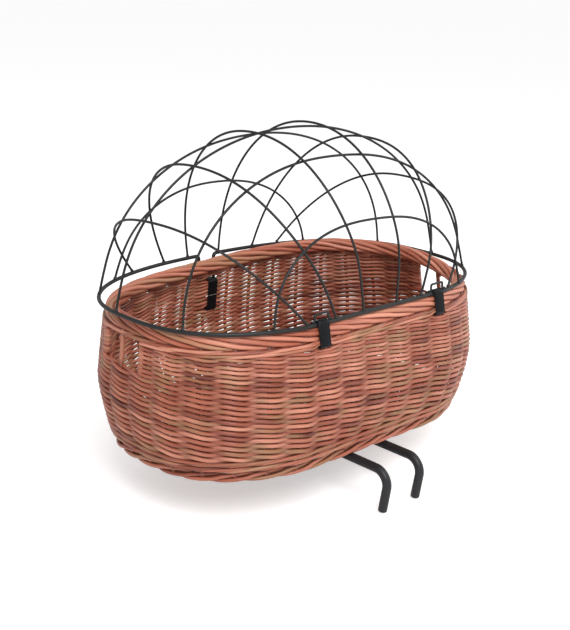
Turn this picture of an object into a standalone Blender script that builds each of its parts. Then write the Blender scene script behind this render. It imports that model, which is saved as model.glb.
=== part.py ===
"""Dog bicycle basket: an oval willow tub with a hinged wire dome and two hook rods for a handlebar.

Metres, +Z up. The handlebar side faces -Y. The tub's own frame has its origin under the middle of
the foot; one empty places it so that the whole part stands centred over the world's origin.
"""
import math
from bisect import bisect_left

import bpy
from mathutils import Vector, geometry

# Clearances
GAP = 0.0003
LOOSE_FIT = 0.0006
CUT_OVERRUN = 0.010

# Oval plan: powers of the rounded outline, the front half's depth as a share of the back half's,
# and how far the middle of the front is flattened
FRONT_POWER = 2.75
BACK_POWER = 2.38
FRONT_DEPTH_SHARE = 1.036
FRONT_FLAT_SHARE = 0.95

# Wire cage
RING_HALF_LENGTH = 0.250
RING_HALF_DEPTH = 0.163
RING_HEIGHT = 0.178
RING_SHIFT_BACK = 0.0065
RING_WIRE_RADIUS = 0.0025
ARC_WIRE_RADIUS = 0.0015
DOME_HEIGHT = 0.1992
DOME_POWER = 2.06
DOME_FRONT_POWER = 2.30
DOME_BACK_POWER = 2.15
DOME_BLEND_POWER = 0.41
DIP_HALF_WIDTH = 0.013
DIP_DEPTH = 0.045
DIP_CORNER_RADIUS = 0.005
LAYER_MARGIN = 0.0005
LAYER_RAMP_HEIGHT = 0.025

# Front to back wires: where each end meets the ring, as shares of its half length, and the
# sideways lean as a share of the height
CROSS_ARC_SHARES = (
    (-0.460, -0.530, -0.88),
    (-0.286, -0.294, -0.49),
    (-0.108, -0.128, -0.18),
    (0.115, 0.085, 0.04),
    (0.289, 0.314, 0.33),
    (0.493, 0.466, 0.81),
)
# Left to right wires: where each end meets the ring, as shares of its half depth, the backward
# lean as a share of the height, and the layer: 1 passes outside the other wires and -1 inside
LONG_ARC_SHARES = (
    (-0.920, -0.947, 0.06, 1),
    (-0.537, -0.634, 0.05, -1),
    (0.096, -0.178, -0.01, -1),
    (0.548, 0.391, -0.02, -1),
    (0.796, 0.839, 0.05, -1),
)

# Wire eyes that keep the hinge straps in place on the ring, with the straps' middles as shares of
# the ring's half length
STRAP_LEFT_SHARE = -0.384
STRAP_RIGHT_SHARE = 0.408
EYE_WIRE_RADIUS = 0.0011
EYE_HALF_WIDTH = 0.0105
EYE_RISE = 0.008
EYE_FOOT = 0.005
EYE_CORNER_RADIUS = 0.002

# Straps
HINGE_STRAP_WIDTH = 0.016
CLOSURE_STRAP_WIDTH = 0.0155
STRAP_THICKNESS = 0.002
HINGE_SLOT_DROP = 0.0255

# Closure at the back, with its heights given as drops below the ring
CLOSURE_TOP_DROP = 0.033
CLOSURE_BOTTOM_DROP = 0.0755
BUCKLE_TOP_DROP = 0.0525
BUCKLE_HEEL_DROP = 0.0665
BUCKLE_WIRE_RADIUS = 0.0013
BUCKLE_CORNER_RADIUS = 0.0025
PRONG_RADIUS = 0.0009
PRONG_OVERHANG = 0.002
PRONG_WRAP = math.radians(235)
FOLD_END = 0.008
FLAP_TAIL = 0.0215

# Willow tub
WALL_THICKNESS = 0.008
WEAVE_RELIEF = 0.0023
BELLY_HEIGHT = 0.085
BELLY_SWELL = 0.007
FOOT_INSET = 0.0113
RIM_INSET = 0.002
FOOT_CURVE_POWER = 1.6
RIM_CURVE_POWER = 1.1
BORDER_HALF_WIDTH = 0.0095
BORDER_HEIGHT = 0.019
BORDER_POWER = 2.4
FOOT_BORDER_WIDTH = 0.014
FOOT_BORDER_HEIGHT = 0.014
FOOT_BORDER_PROUD = 0.0023
FOOT_BORDER_POWER = 3.0
BASE_THICKNESS = 0.010
BASE_RELIEF = 0.0028
BASE_CORE_SHARES = (0.36, 0.10)
BASE_FAN_SHARES = (0.42, 0.18)

# Grip holes in the two ends, just under the border
GRIP_HALF_WIDTH = 0.033
GRIP_BOTTOM_DROP = 0.058
GRIP_CORNER_RADIUS = 0.008
GRIP_LEFT_PLACE = 0.014
GRIP_RIGHT_PLACE = -0.046
STAKE_RADIUS = 0.0028

# Hook rods and what holds them under the base, with the saddles' places as shares of the ring's
# half depth
ROD_RADIUS = 0.0055
ROD_SPACING = 0.058
ROD_BACK_END = 0.020
ROD_BEND_START = 0.185
ROD_BEND_RADIUS = 0.018
ROD_LEG_LENGTH = 0.030
ROD_LEG_LEAN = math.radians(9.5)
SADDLE_THICKNESS = 0.002
SADDLE_WIDTH = 0.020
SADDLE_HALF_LENGTH = 0.056
SADDLE_FRONT_SHARE = -0.7055
SADDLE_BACK_SHARE = -0.0307
BOLT_PLACE = 0.046
BOLT_RADIUS = 0.0025
BOLT_HEAD_RADIUS = 0.0045
BOLT_HEAD_HEIGHT = 0.0028
BOLT_END = 0.0015
STRIP_THICKNESS = 0.0015
NUT_HALF_ACROSS_FLATS = 0.004
NUT_HEIGHT = 0.004

# Finishes: colour, roughness and metallic
WILLOW = ((0.45, 0.15, 0.07), 0.6, 0.0)
COATED_WIRE = ((0.02, 0.02, 0.02), 0.35, 0.0)
STRAP_LEATHER = ((0.025, 0.025, 0.03), 0.55, 0.0)
ZINC_STEEL = ((0.55, 0.55, 0.53), 0.35, 1.0)

# How finely round shapes are divided
OUTLINE_STEPS = 720
BACK_STAKES = 18
FRONT_STAKES = 17
WEAVE_ROWS = 22
INNER_WALL_LEVELS = 8
BASE_STICKS = 20
BORDER_COLUMNS = 3 * BASE_STICKS
BORDER_SIDES = 10
RING_STEPS = 72
ARC_SAMPLES = 160
ARC_SMOOTH_ROUNDS = 40
HEIGHT_SEARCH_ROUNDS = 40
ARC_STEPS = 26
CORNER_STEPS = 4
STRAP_STEPS = 40
BAND_STEPS = 8
TURNED_SIDES = 12
SMOOTH_ANGLE = math.radians(40)

# Places that follow from the sizes above
STRAP_LEFT_PLACE = STRAP_LEFT_SHARE * RING_HALF_LENGTH
STRAP_RIGHT_PLACE = STRAP_RIGHT_SHARE * RING_HALF_LENGTH
SADDLE_FRONT_PLACE = SADDLE_FRONT_SHARE * RING_HALF_DEPTH
SADDLE_BACK_PLACE = SADDLE_BACK_SHARE * RING_HALF_DEPTH
BORDER_TOP = RING_HEIGHT - RING_WIRE_RADIUS - GAP
BORDER_CENTRE = BORDER_TOP - BORDER_HEIGHT / 2
WALL_TOP = BORDER_TOP - BORDER_HEIGHT - GAP
WALL_BOTTOM = FOOT_BORDER_HEIGHT + GAP
FLAT_SHARE = FRONT_FLAT_SHARE * FRONT_DEPTH_SHARE
HINGE_Y = -FLAT_SHARE * RING_HALF_DEPTH + RING_SHIFT_BACK
RING_BACK_Y = RING_HALF_DEPTH + RING_SHIFT_BACK
FLAP_Y = RING_BACK_Y + RING_WIRE_RADIUS + GAP + STRAP_THICKNESS / 2
BUCKLE_Y = FLAP_Y + STRAP_THICKNESS / 2 + GAP + BUCKLE_WIRE_RADIUS
FOLD_RADIUS = BUCKLE_WIRE_RADIUS + GAP + STRAP_THICKNESS / 2
TAIL_Y = BUCKLE_Y + FOLD_RADIUS + STRAP_THICKNESS + GAP
ROD_Z = -GAP - ROD_RADIUS
LAYER = 2 * ARC_WIRE_RADIUS + GAP + LAYER_MARGIN
BOLT_PLACES = [
    (side * BOLT_PLACE, place)
    for place in (SADDLE_FRONT_PLACE, SADDLE_BACK_PLACE)
    for side in (-1, 1)
]


def clear_scene():
    """Remove every object that the scene starts with."""
    for item in list(bpy.data.objects):
        bpy.data.objects.remove(item, do_unlink=True)


def add_material(name, finish):
    """A Principled material of one plain colour."""
    colour, roughness, metallic = finish
    material = bpy.data.materials.new(name)
    material.use_nodes = True
    shader = material.node_tree.nodes["Principled BSDF"]
    shader.inputs["Base Color"].default_value = (*colour, 1)
    shader.inputs["Roughness"].default_value = roughness
    shader.inputs["Metallic"].default_value = metallic
    material.diffuse_color = (*colour, 1)
    return material


def add_pivot(name, place, parent=None):
    """An empty that other objects hang from."""
    pivot = bpy.data.objects.new(name, None)
    bpy.context.scene.collection.objects.link(pivot)
    pivot.location = place
    pivot.parent = parent
    return pivot


def link_object(name, data, parent, finish):
    """Put mesh or curve data in the scene under a parent, with a material of its own."""
    item = bpy.data.objects.new(name, data)
    bpy.context.scene.collection.objects.link(item)
    item.parent = parent
    if finish:
        data.materials.append(add_material(name + "_finish", finish))
    return item


def add_mesh(name, points, faces, parent, finish):
    """A closed mesh, shaded smooth apart from its sharp edges."""
    mesh = bpy.data.meshes.new(name)
    mesh.from_pydata([tuple(point) for point in points], [], faces)
    mesh.update()
    mesh.shade_smooth()
    mesh.set_sharp_from_angle(angle=SMOOTH_ANGLE)
    return link_object(name, mesh, parent, finish)


def add_wire(name, points, radius, parent, finish, closed=False, fineness=2):
    """A round wire along a list of points, with flat ends."""
    curve = bpy.data.curves.new(name, "CURVE")
    curve.dimensions = "3D"
    curve.bevel_depth = radius
    curve.bevel_resolution = fineness
    curve.use_fill_caps = True
    spline = curve.splines.new("POLY")
    spline.points.add(len(points) - 1)
    for slot, point in zip(spline.points, points):
        slot.co = (*point, 1)
    spline.use_cyclic_u = closed
    return link_object(name, curve, parent, finish)


def add_cutter(name, points, faces, parent):
    """A guide shape that Boolean modifiers cut with."""
    cutter = add_mesh(name, points, faces, parent, None)
    cutter.hide_render = True
    cutter.display_type = "WIRE"
    return cutter


def cut(item, cutter):
    """Take a cutter's shape away from an object."""
    modifier = item.modifiers.new("cut", "BOOLEAN")
    modifier.operation = "DIFFERENCE"
    modifier.solver = "EXACT"
    modifier.object = cutter


def loft(rings):
    """Points and faces of a closed skin that joins rings of points, the last one to the first."""
    columns = len(rings[0])
    points = [point for ring in rings for point in ring]
    faces = []
    for row in range(len(rings)):
        after = (row + 1) % len(rings)
        for column in range(columns):
            beside = (column + 1) % columns
            faces.append((
                row * columns + column,
                row * columns + beside,
                after * columns + beside,
                after * columns + column,
            ))
    return points, faces


def prism(*rings):
    """Points and faces of a solid that runs through like rings of points, flat at its two ends."""
    count = len(rings[0])
    points = [point for ring in rings for point in ring]
    faces = [tuple(range(count - 1, -1, -1))]
    for row in range(len(rings) - 1):
        low = row * count
        high = low + count
        faces += [(low + k, low + (k + 1) % count, high + (k + 1) % count, high + k) for k in range(count)]
    faces.append(tuple(range(len(points) - count, len(points))))
    return points, faces


def gather(shapes):
    """Several separate solids as one list of points and faces."""
    points = []
    faces = []
    for shape_points, shape_faces in shapes:
        start = len(points)
        points += shape_points
        faces += [tuple(start + index for index in face) for face in shape_faces]
    return points, faces


def distances(line):
    """How far along a line each of its points is."""
    travelled = [0.0]
    for before, after in zip(line, line[1:]):
        travelled.append(travelled[-1] + (after - before).length)
    return travelled


def point_along(line, travelled, distance):
    """The point of a line at a distance along it."""
    index = min(max(bisect_left(travelled, distance) - 1, 0), len(line) - 2)
    stretch = travelled[index + 1] - travelled[index]
    return line[index].lerp(line[index + 1], (distance - travelled[index]) / stretch)


def resample(points, count, closed=False):
    """The same line with its points at even distances."""
    line = list(points)
    if closed:
        line.append(line[0])
    travelled = distances(line)
    steps = count if closed else count - 1
    return [point_along(line, travelled, travelled[-1] * k / steps) for k in range(count)]


def filleted(corners, radius, closed=False):
    """Straight runs between corner points, with an arc at each corner."""
    path = []
    count = len(corners)
    for index, corner in enumerate(corners):
        if not closed and index in (0, count - 1):
            path.append(corner.copy())
            continue
        before = (corners[index - 1] - corner).normalized()
        after = (corners[(index + 1) % count] - corner).normalized()
        half = before.angle(after) / 2
        reach = radius / math.tan(half)
        centre = corner + (before + after).normalized() * (radius / math.sin(half))
        start = corner + before * reach - centre
        end = corner + after * reach - centre
        turn = start.angle(end)
        for k in range(CORNER_STEPS + 1):
            share = k / CORNER_STEPS
            mix = start * math.sin((1 - share) * turn) + end * math.sin(share * turn)
            path.append(centre + mix / math.sin(turn))
    return path


def plan_half(y, half_depth):
    """The power and half depth of the oval's half that holds a Y."""
    if y > 0:
        return BACK_POWER, half_depth
    return FRONT_POWER, half_depth * FRONT_DEPTH_SHARE


def outline(half_length, half_depth, height):
    """Fine points round the oval plan, anticlockwise from +X."""
    points = []
    for k in range(OUTLINE_STEPS):
        turn = 2 * math.pi * k / OUTLINE_STEPS
        power, depth = plan_half(math.sin(turn), half_depth)
        x = half_length * math.copysign(abs(math.cos(turn)) ** (2 / power), math.cos(turn))
        y = depth * math.copysign(abs(math.sin(turn)) ** (2 / power), math.sin(turn))
        points.append(Vector((x, max(y, -FLAT_SHARE * half_depth), height)))
    return points


def oval(half_length, half_depth, height, count):
    """Evenly spaced points round the oval plan, anticlockwise from +X."""
    return resample(outline(half_length, half_depth, height), count, closed=True)


def edge_y(x, half_length, half_depth, side):
    """Where the oval crosses a line of constant X, at its back (1) or front (-1)."""
    power, depth = plan_half(side, half_depth)
    reach = depth * (1 - abs(x / half_length) ** power) ** (1 / power)
    return reach if side > 0 else -min(reach, FLAT_SHARE * half_depth)


def edge_x(y, half_length, half_depth):
    """How far out the oval reaches at a line of constant Y."""
    power, depth = plan_half(y, half_depth)
    return half_length * (1 - abs(y / depth) ** power) ** (1 / power)


def wall_out(height):
    """How far the wall's outer face stands outside the ring's plan at a height over the foot."""
    if height < BELLY_HEIGHT:
        share = (BELLY_HEIGHT - height) / BELLY_HEIGHT
        return BELLY_SWELL - (BELLY_SWELL + FOOT_INSET) * share ** FOOT_CURVE_POWER
    share = (height - BELLY_HEIGHT) / (BORDER_TOP - BELLY_HEIGHT)
    return BELLY_SWELL - (BELLY_SWELL + RIM_INSET) * share ** RIM_CURVE_POWER


def tub_oval(outward, height, count):
    """The oval plan moved outward from the ring's, as a level loop of the tub."""
    return oval(RING_HALF_LENGTH + outward, RING_HALF_DEPTH + outward, height, count)


def stake_loop(outward, height):
    """A level loop of the tub with a point at each stake and one midway to the next stake."""
    line = outline(RING_HALF_LENGTH + outward, RING_HALF_DEPTH + outward, height)
    line.append(line[0])
    travelled = distances(line)
    right = GRIP_RIGHT_PLACE
    left = travelled[OUTLINE_STEPS // 2] - GRIP_LEFT_PLACE
    whole = travelled[-1]
    steps = [(left - right) / (2 * BACK_STAKES), (whole + right - left) / (2 * FRONT_STAKES)]
    places = [right + steps[0] * k for k in range(2 * BACK_STAKES)]
    places += [left + steps[1] * k for k in range(2 * FRONT_STAKES)]
    return [point_along(line, travelled, place % whole) for place in places]


def woven_loop(outward, bulge, height):
    """A level loop of the wall that stands out by a bulge at each stake and not between stakes."""
    at_stakes = stake_loop(outward + bulge, height)[0::2]
    between = stake_loop(outward, height)[1::2]
    return [point for pair in zip(at_stakes, between) for point in pair]


def front_face_y(outward):
    """Y of the flattened front of the tub's plan, moved outward."""
    return -FLAT_SHARE * (RING_HALF_DEPTH + outward)


def section(half_width, height, power, sides):
    """Points round a rounded border section, as outward and upward offsets from its centre."""
    points = []
    for k in range(sides):
        turn = 2 * math.pi * (k + 0.5) / sides
        wide = half_width * math.copysign(abs(math.cos(turn)) ** (2 / power), math.cos(turn))
        tall = height / 2 * math.copysign(abs(math.sin(turn)) ** (2 / power), math.sin(turn))
        points.append((wide, tall))
    return points


def make_wall(frame):
    """The side wall, full where its rods pass a stake and thin where they cross, with its holes."""
    tall = WALL_TOP - WALL_BOTTOM
    outer = []
    for level in range(2 * WEAVE_ROWS + 1):
        height = WALL_BOTTOM + tall * level / (2 * WEAVE_ROWS)
        outer.append(woven_loop(wall_out(height) - WEAVE_RELIEF, WEAVE_RELIEF * (level % 2), height))
    inner = []
    for level in reversed(range(INNER_WALL_LEVELS)):
        height = WALL_BOTTOM + tall * level / (INNER_WALL_LEVELS - 1)
        face = wall_out(height) - WALL_THICKNESS
        inner.append(woven_loop(face + WEAVE_RELIEF, -WEAVE_RELIEF, height))
    wall = add_mesh("woven_wall", *loft(outer + inner), frame, WILLOW)
    cut(wall, add_cutter("wall_openings", *gather(grip_cuts() + slot_cuts()), frame))


def grip_cuts():
    """Cutters for the grip holes, each a notch with round lower corners."""
    shapes = []
    bottom = RING_HEIGHT - GRIP_BOTTOM_DROP
    top = WALL_TOP + CUT_OVERRUN
    far = RING_HALF_LENGTH + BELLY_SWELL + CUT_OVERRUN
    face = -RIM_INSET - WALL_THICKNESS
    for side, place in ((-1, GRIP_LEFT_PLACE), (1, GRIP_RIGHT_PLACE)):
        near = min(
            edge_x(place + way * GRIP_HALF_WIDTH, RING_HALF_LENGTH + face, RING_HALF_DEPTH + face)
            for way in (-1, 1)
        ) - CUT_OVERRUN
        corners = [
            Vector((0, place - GRIP_HALF_WIDTH, top)),
            Vector((0, place - GRIP_HALF_WIDTH, bottom)),
            Vector((0, place + GRIP_HALF_WIDTH, bottom)),
            Vector((0, place + GRIP_HALF_WIDTH, top)),
        ]
        outline = filleted(corners, GRIP_CORNER_RADIUS)
        low, high = sorted((side * near, side * far))
        shapes.append(prism(
            [point + Vector((low, 0, 0)) for point in outline],
            [point + Vector((high, 0, 0)) for point in outline],
        ))
    return shapes


def block(low, high):
    """A box between two corners."""
    base = [(low[0], low[1]), (high[0], low[1]), (high[0], high[1]), (low[0], high[1])]
    return prism([(x, y, low[2]) for x, y in base], [(x, y, high[2]) for x, y in base])


def slot_cuts():
    """Cutters for the slots that the straps pass through."""
    shapes = []
    half_height = STRAP_THICKNESS / 2 + LOOSE_FIT
    half_wide = HINGE_STRAP_WIDTH / 2 + LOOSE_FIT
    face = RING_HALF_DEPTH + BELLY_SWELL + CUT_OVERRUN
    within = RING_HALF_DEPTH - RIM_INSET - WALL_THICKNESS - CUT_OVERRUN
    for middle in (STRAP_LEFT_PLACE, STRAP_RIGHT_PLACE):
        height = RING_HEIGHT - HINGE_SLOT_DROP
        shapes.append(block(
            (middle - half_wide, -face, height - half_height),
            (middle + half_wide, -within, height + half_height),
        ))
    half_wide = CLOSURE_STRAP_WIDTH / 2 + LOOSE_FIT
    for drop in (CLOSURE_TOP_DROP, CLOSURE_BOTTOM_DROP):
        height = RING_HEIGHT - drop
        shapes.append(block(
            (-half_wide, within, height - half_height),
            (half_wide, face, height + half_height),
        ))
    return shapes


def make_borders(frame):
    """The thick border round the rim and the border that the tub stands on."""
    middle = -RIM_INSET - BORDER_HALF_WIDTH
    rings = [
        tub_oval(middle + wide, BORDER_CENTRE + tall, BORDER_COLUMNS)
        for wide, tall in section(BORDER_HALF_WIDTH, BORDER_HEIGHT, BORDER_POWER, BORDER_SIDES)
    ]
    add_mesh("rim_border", *loft(rings), frame, WILLOW)
    half_width = FOOT_BORDER_WIDTH / 2
    middle = wall_out(0) + FOOT_BORDER_PROUD - half_width
    corners = section(half_width, FOOT_BORDER_HEIGHT, FOOT_BORDER_POWER, BORDER_SIDES)
    low = min(tall for wide, tall in corners)
    rings = [tub_oval(middle + wide, tall - low, BORDER_COLUMNS) for wide, tall in corners]
    add_mesh("foot_border", *loft(rings), frame, WILLOW)


def make_base(frame, bolt_holes):
    """The woven base, full where its rods pass a stick of the fan and thin where they cross."""
    outward = wall_out(0) + FOOT_BORDER_PROUD - FOOT_BORDER_WIDTH - GAP
    edge = tub_oval(outward, 0, BORDER_COLUMNS)
    fan, core = [
        oval(length_share * RING_HALF_LENGTH, depth_share * RING_HALF_DEPTH, 0, BORDER_COLUMNS)
        for length_share, depth_share in (BASE_FAN_SHARES, BASE_CORE_SHARES)
    ]
    dips = [BASE_RELIEF * (k % 3 == 2) for k in range(BORDER_COLUMNS)]
    below = [[point + Vector((0, 0, dip)) for point, dip in zip(ring, dips)] for ring in (fan, edge)]
    above = [
        [point + Vector((0, 0, BASE_THICKNESS - dip)) for point, dip in zip(ring, dips)]
        for ring in (edge, fan)
    ]
    top = [point + Vector((0, 0, BASE_THICKNESS)) for point in core]
    base = add_mesh("woven_base", *prism(core, *below, *above, top), frame, WILLOW)
    cut(base, bolt_holes)


def make_grip_stakes(frame):
    """The one upright stake left standing in each grip hole."""
    bottom = RING_HEIGHT - GRIP_BOTTOM_DROP + GAP
    top = WALL_TOP
    for name, side, place in (
        ("grip_stake_left", -1, GRIP_LEFT_PLACE),
        ("grip_stake_right", 1, GRIP_RIGHT_PLACE),
    ):
        points = []
        for height in (bottom, (bottom + top) / 2, top):
            outward = wall_out(height) - WALL_THICKNESS / 2
            reach = edge_x(place, RING_HALF_LENGTH + outward, RING_HALF_DEPTH + outward)
            points.append(Vector((side * reach, place, height)))
        add_wire(name, points, STAKE_RADIUS, frame, WILLOW)


def add_band(name, path, width, thickness, across, place, parent, finish, closed=False):
    """A flat strap along a path of points in one upright plane, straight across its width."""
    rings = [[], [], [], []]
    count = len(path)
    for index, point in enumerate(path):
        ahead = path[(index + 1) % count] - point
        behind = point - path[index - 1]
        if not closed and index == 0:
            behind = ahead
        if not closed and index == count - 1:
            ahead = behind
        normal = ahead.normalized() + behind.normalized()
        normal = Vector((-normal[1], normal[0])).normalized()
        along = ahead.normalized()
        square = Vector((-along[1], along[0]))
        offset = normal * (thickness / 2 / normal.dot(square))
        for ring, sign, side in zip(rings, (-1, 1, 1, -1), (-1, -1, 1, 1)):
            spot = point + offset * sign
            shift = place + side * width / 2
            if across == "X":
                ring.append(Vector((shift, spot[0], spot[1])))
            else:
                ring.append(Vector((spot[0], shift, spot[1])))
    if closed:
        points, faces = loft(rings)
    else:
        points, faces = loft([list(corners) for corners in zip(*rings)])
        last = 4 * (count - 1)
        faces = faces[:last]
        faces += [(3, 2, 1, 0), (last, last + 1, last + 2, last + 3)]
    if across == "X":
        faces = [tuple(reversed(face)) for face in faces]
    return add_mesh(name, points, faces, parent, finish)


def make_hinge_straps(frame):
    """Two straps, each a tight loop round the ring and the rim border and through the wall."""
    spread = STRAP_THICKNESS / 2 + LOOSE_FIT
    turns = [2 * math.pi * k / STRAP_STEPS for k in range(STRAP_STEPS)]
    middle = -RIM_INSET - BORDER_HALF_WIDTH
    slot = RING_HEIGHT - HINGE_SLOT_DROP + spread
    held = [
        (HINGE_Y + RING_WIRE_RADIUS * math.cos(turn), RING_HEIGHT + RING_WIRE_RADIUS * math.sin(turn))
        for turn in turns
    ]
    rim = section(BORDER_HALF_WIDTH, BORDER_HEIGHT, BORDER_POWER, STRAP_STEPS)
    held += [(front_face_y(middle + wide), BORDER_CENTRE + tall) for wide, tall in rim]
    held += [(front_face_y(wall_out(height)), height) for height in (WALL_TOP, slot)]
    held.append((front_face_y(middle - BORDER_HALF_WIDTH / 2), slot))
    around = [
        Vector((y + spread * math.cos(turn), z + spread * math.sin(turn)))
        for y, z in held
        for turn in turns
    ]
    hull = [around[index].to_3d() for index in geometry.convex_hull_2d(around)]
    path = [point.xy for point in resample(hull, STRAP_STEPS, closed=True)]
    for name, place in (
        ("hinge_strap_left", STRAP_LEFT_PLACE),
        ("hinge_strap_right", STRAP_RIGHT_PLACE),
    ):
        add_band(
            name, path, HINGE_STRAP_WIDTH, STRAP_THICKNESS, "X", place,
            frame, STRAP_LEATHER, closed=True,
        )


def outer_y(height):
    """Y of the wall's outer face at the middle of the back."""
    return RING_HALF_DEPTH + wall_out(height)


def make_closure_strap(frame):
    """The strap down the inside of the back wall, out through two slots and round the buckle."""
    top = RING_HEIGHT - CLOSURE_TOP_DROP
    bottom = RING_HEIGHT - CLOSURE_BOTTOM_DROP
    heel = RING_HEIGHT - BUCKLE_HEEL_DROP
    inset = WALL_THICKNESS + GAP + STRAP_THICKNESS / 2
    path = [Vector((outer_y(top) - GAP, top))]
    for k in range(BAND_STEPS + 1):
        height = top + (bottom - top) * k / BAND_STEPS
        path.append(Vector((outer_y(height) - inset, height)))
    leg = BUCKLE_Y - FOLD_RADIUS
    path.append(Vector((leg, bottom)))
    for k in range(BAND_STEPS + 1):
        turn = math.pi * k / BAND_STEPS
        path.append(Vector((
            BUCKLE_Y - FOLD_RADIUS * math.cos(turn), heel + FOLD_RADIUS * math.sin(turn)
        )))
    path.append(Vector((BUCKLE_Y + FOLD_RADIUS, heel - FOLD_END)))
    strap = add_band(
        "closure_strap", path, CLOSURE_STRAP_WIDTH, STRAP_THICKNESS, "X", 0, frame, STRAP_LEATHER
    )
    half = PRONG_RADIUS + LOOSE_FIT
    reach = FOLD_RADIUS + STRAP_THICKNESS
    fold_slot = block(
        (-half, BUCKLE_Y - reach, heel - reach),
        (half, BUCKLE_Y + reach, heel + reach),
    )
    cut(strap, add_cutter("fold_slot", *fold_slot, frame))


def make_closure_flap(frame):
    """The strap's outer end, from the top slot down over the ring's dip and through the buckle."""
    start = RING_HEIGHT - CLOSURE_TOP_DROP
    heel = RING_HEIGHT - BUCKLE_HEEL_DROP
    high = RING_HEIGHT - BUCKLE_TOP_DROP - BUCKLE_WIRE_RADIUS - GAP
    low = heel + FOLD_RADIUS
    path = [
        Vector((outer_y(start), start)),
        Vector((FLAP_Y - STRAP_THICKNESS, start)),
        Vector((FLAP_Y, start - STRAP_THICKNESS)),
        Vector((FLAP_Y, high)),
        Vector((TAIL_Y, low)),
        Vector((TAIL_Y, heel - FLAP_TAIL)),
    ]
    flap = add_band(
        "closure_flap", path, CLOSURE_STRAP_WIDTH, STRAP_THICKNESS, "X", 0, frame, STRAP_LEATHER
    )
    arm_y = BUCKLE_Y + BUCKLE_WIRE_RADIUS + GAP + PRONG_RADIUS
    slope = (TAIL_Y - FLAP_Y) / (high - low)
    crossing = high - (arm_y - FLAP_Y) / slope
    thick = STRAP_THICKNESS / 2 * math.sqrt(1 + slope ** 2)
    half_height = (thick + PRONG_RADIUS + LOOSE_FIT) / slope
    half = PRONG_RADIUS + LOOSE_FIT
    prong_hole = block(
        (-half, FLAP_Y - CUT_OVERRUN, crossing - half_height),
        (half, TAIL_Y + CUT_OVERRUN, crossing + half_height),
    )
    cut(flap, add_cutter("prong_hole", *prong_hole, frame))


def make_buckle(frame):
    """The buckle's frame, and its prong on a pivot of its own at the heel bar."""
    top = RING_HEIGHT - BUCKLE_TOP_DROP
    heel = RING_HEIGHT - BUCKLE_HEEL_DROP
    half = CLOSURE_STRAP_WIDTH / 2 + LOOSE_FIT + BUCKLE_WIRE_RADIUS
    corners = [
        Vector((-half, BUCKLE_Y, heel)),
        Vector((half, BUCKLE_Y, heel)),
        Vector((half, BUCKLE_Y, top)),
        Vector((-half, BUCKLE_Y, top)),
    ]
    loop = filleted(corners, BUCKLE_CORNER_RADIUS, closed=True)
    add_wire("buckle_frame", loop, BUCKLE_WIRE_RADIUS, frame, ZINC_STEEL, closed=True)
    pivot = add_pivot("prong_pivot", (0, BUCKLE_Y, heel), frame)
    reach = BUCKLE_WIRE_RADIUS + GAP + PRONG_RADIUS
    points = []
    for k in range(BAND_STEPS, -1, -1):
        turn = -PRONG_WRAP * k / BAND_STEPS
        points.append(Vector((0, reach * math.cos(turn), reach * math.sin(turn))))
    points.append(Vector((0, reach, top - heel + PRONG_OVERHANG)))
    add_wire("buckle_prong", points, PRONG_RADIUS, pivot, ZINC_STEEL)


def rod_path(x):
    """A hook rod: straight under the base, then bent down in front of the tub."""
    centre = Vector((x, -ROD_BEND_START, ROD_Z - ROD_BEND_RADIUS))
    sweep = math.pi / 2 + ROD_LEG_LEAN
    points = [Vector((x, ROD_BACK_END, ROD_Z))]
    steps = 2 * CORNER_STEPS
    for k in range(steps + 1):
        turn = sweep * k / steps
        points.append(centre + ROD_BEND_RADIUS * Vector((0, -math.sin(turn), math.cos(turn))))
    leg = Vector((0, math.sin(ROD_LEG_LEAN), -math.cos(ROD_LEG_LEAN)))
    points.append(points[-1] + ROD_LEG_LENGTH * leg)
    return points


def rod_drop():
    """How far the hook tips reach below the foot."""
    return -rod_path(0)[-1].z + ROD_RADIUS * math.sin(ROD_LEG_LEAN)


def frame_shift():
    """How far the tub stands back of the world's origin, so that the part is centred over it."""
    front = ROD_BEND_START + ROD_BEND_RADIUS + ROD_RADIUS
    back = TAIL_Y + STRAP_THICKNESS / 2
    return (front - back) / 2


def make_hook_rods(frame):
    """The two rods that hang over the handlebar."""
    add_wire("hook_rod_left", rod_path(-ROD_SPACING / 2), ROD_RADIUS, frame, COATED_WIRE)
    add_wire("hook_rod_right", rod_path(ROD_SPACING / 2), ROD_RADIUS, frame, COATED_WIRE)


def circle(radius, place, height, sides=TURNED_SIDES):
    """A level ring of points."""
    return [
        Vector((
            place[0] + radius * math.cos(2 * math.pi * k / sides),
            place[1] + radius * math.sin(2 * math.pi * k / sides),
            height,
        ))
        for k in range(sides)
    ]


def make_saddles(frame, bolt_holes):
    """The humped bars that hold the rods, and the strips that spread the bolts' load inside."""
    flat = -GAP - SADDLE_THICKNESS / 2
    reach = ROD_RADIUS + GAP + SADDLE_THICKNESS / 2
    path = [Vector((-SADDLE_HALF_LENGTH, flat))]
    for side in (-1, 1):
        middle = side * ROD_SPACING / 2
        path.append(Vector((middle - reach, flat)))
        for k in range(BAND_STEPS + 1):
            turn = math.pi + math.pi * k / BAND_STEPS
            path.append(Vector((
                middle + reach * math.cos(turn), ROD_Z + reach * math.sin(turn)
            )))
        path.append(Vector((middle + reach, flat)))
    path.append(Vector((SADDLE_HALF_LENGTH, flat)))
    low = BASE_THICKNESS + GAP
    for word, place in (("front", SADDLE_FRONT_PLACE), ("back", SADDLE_BACK_PLACE)):
        saddle = add_band(
            "rod_saddle_" + word, path, SADDLE_WIDTH, SADDLE_THICKNESS, "Y", place,
            frame, COATED_WIRE,
        )
        cut(saddle, bolt_holes)
        strip = block(
            (-SADDLE_HALF_LENGTH, place - SADDLE_WIDTH / 2, low),
            (SADDLE_HALF_LENGTH, place + SADDLE_WIDTH / 2, low + STRIP_THICKNESS),
        )
        cut(add_mesh("inner_strip_" + word, *strip, frame, ZINC_STEEL), bolt_holes)


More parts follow.
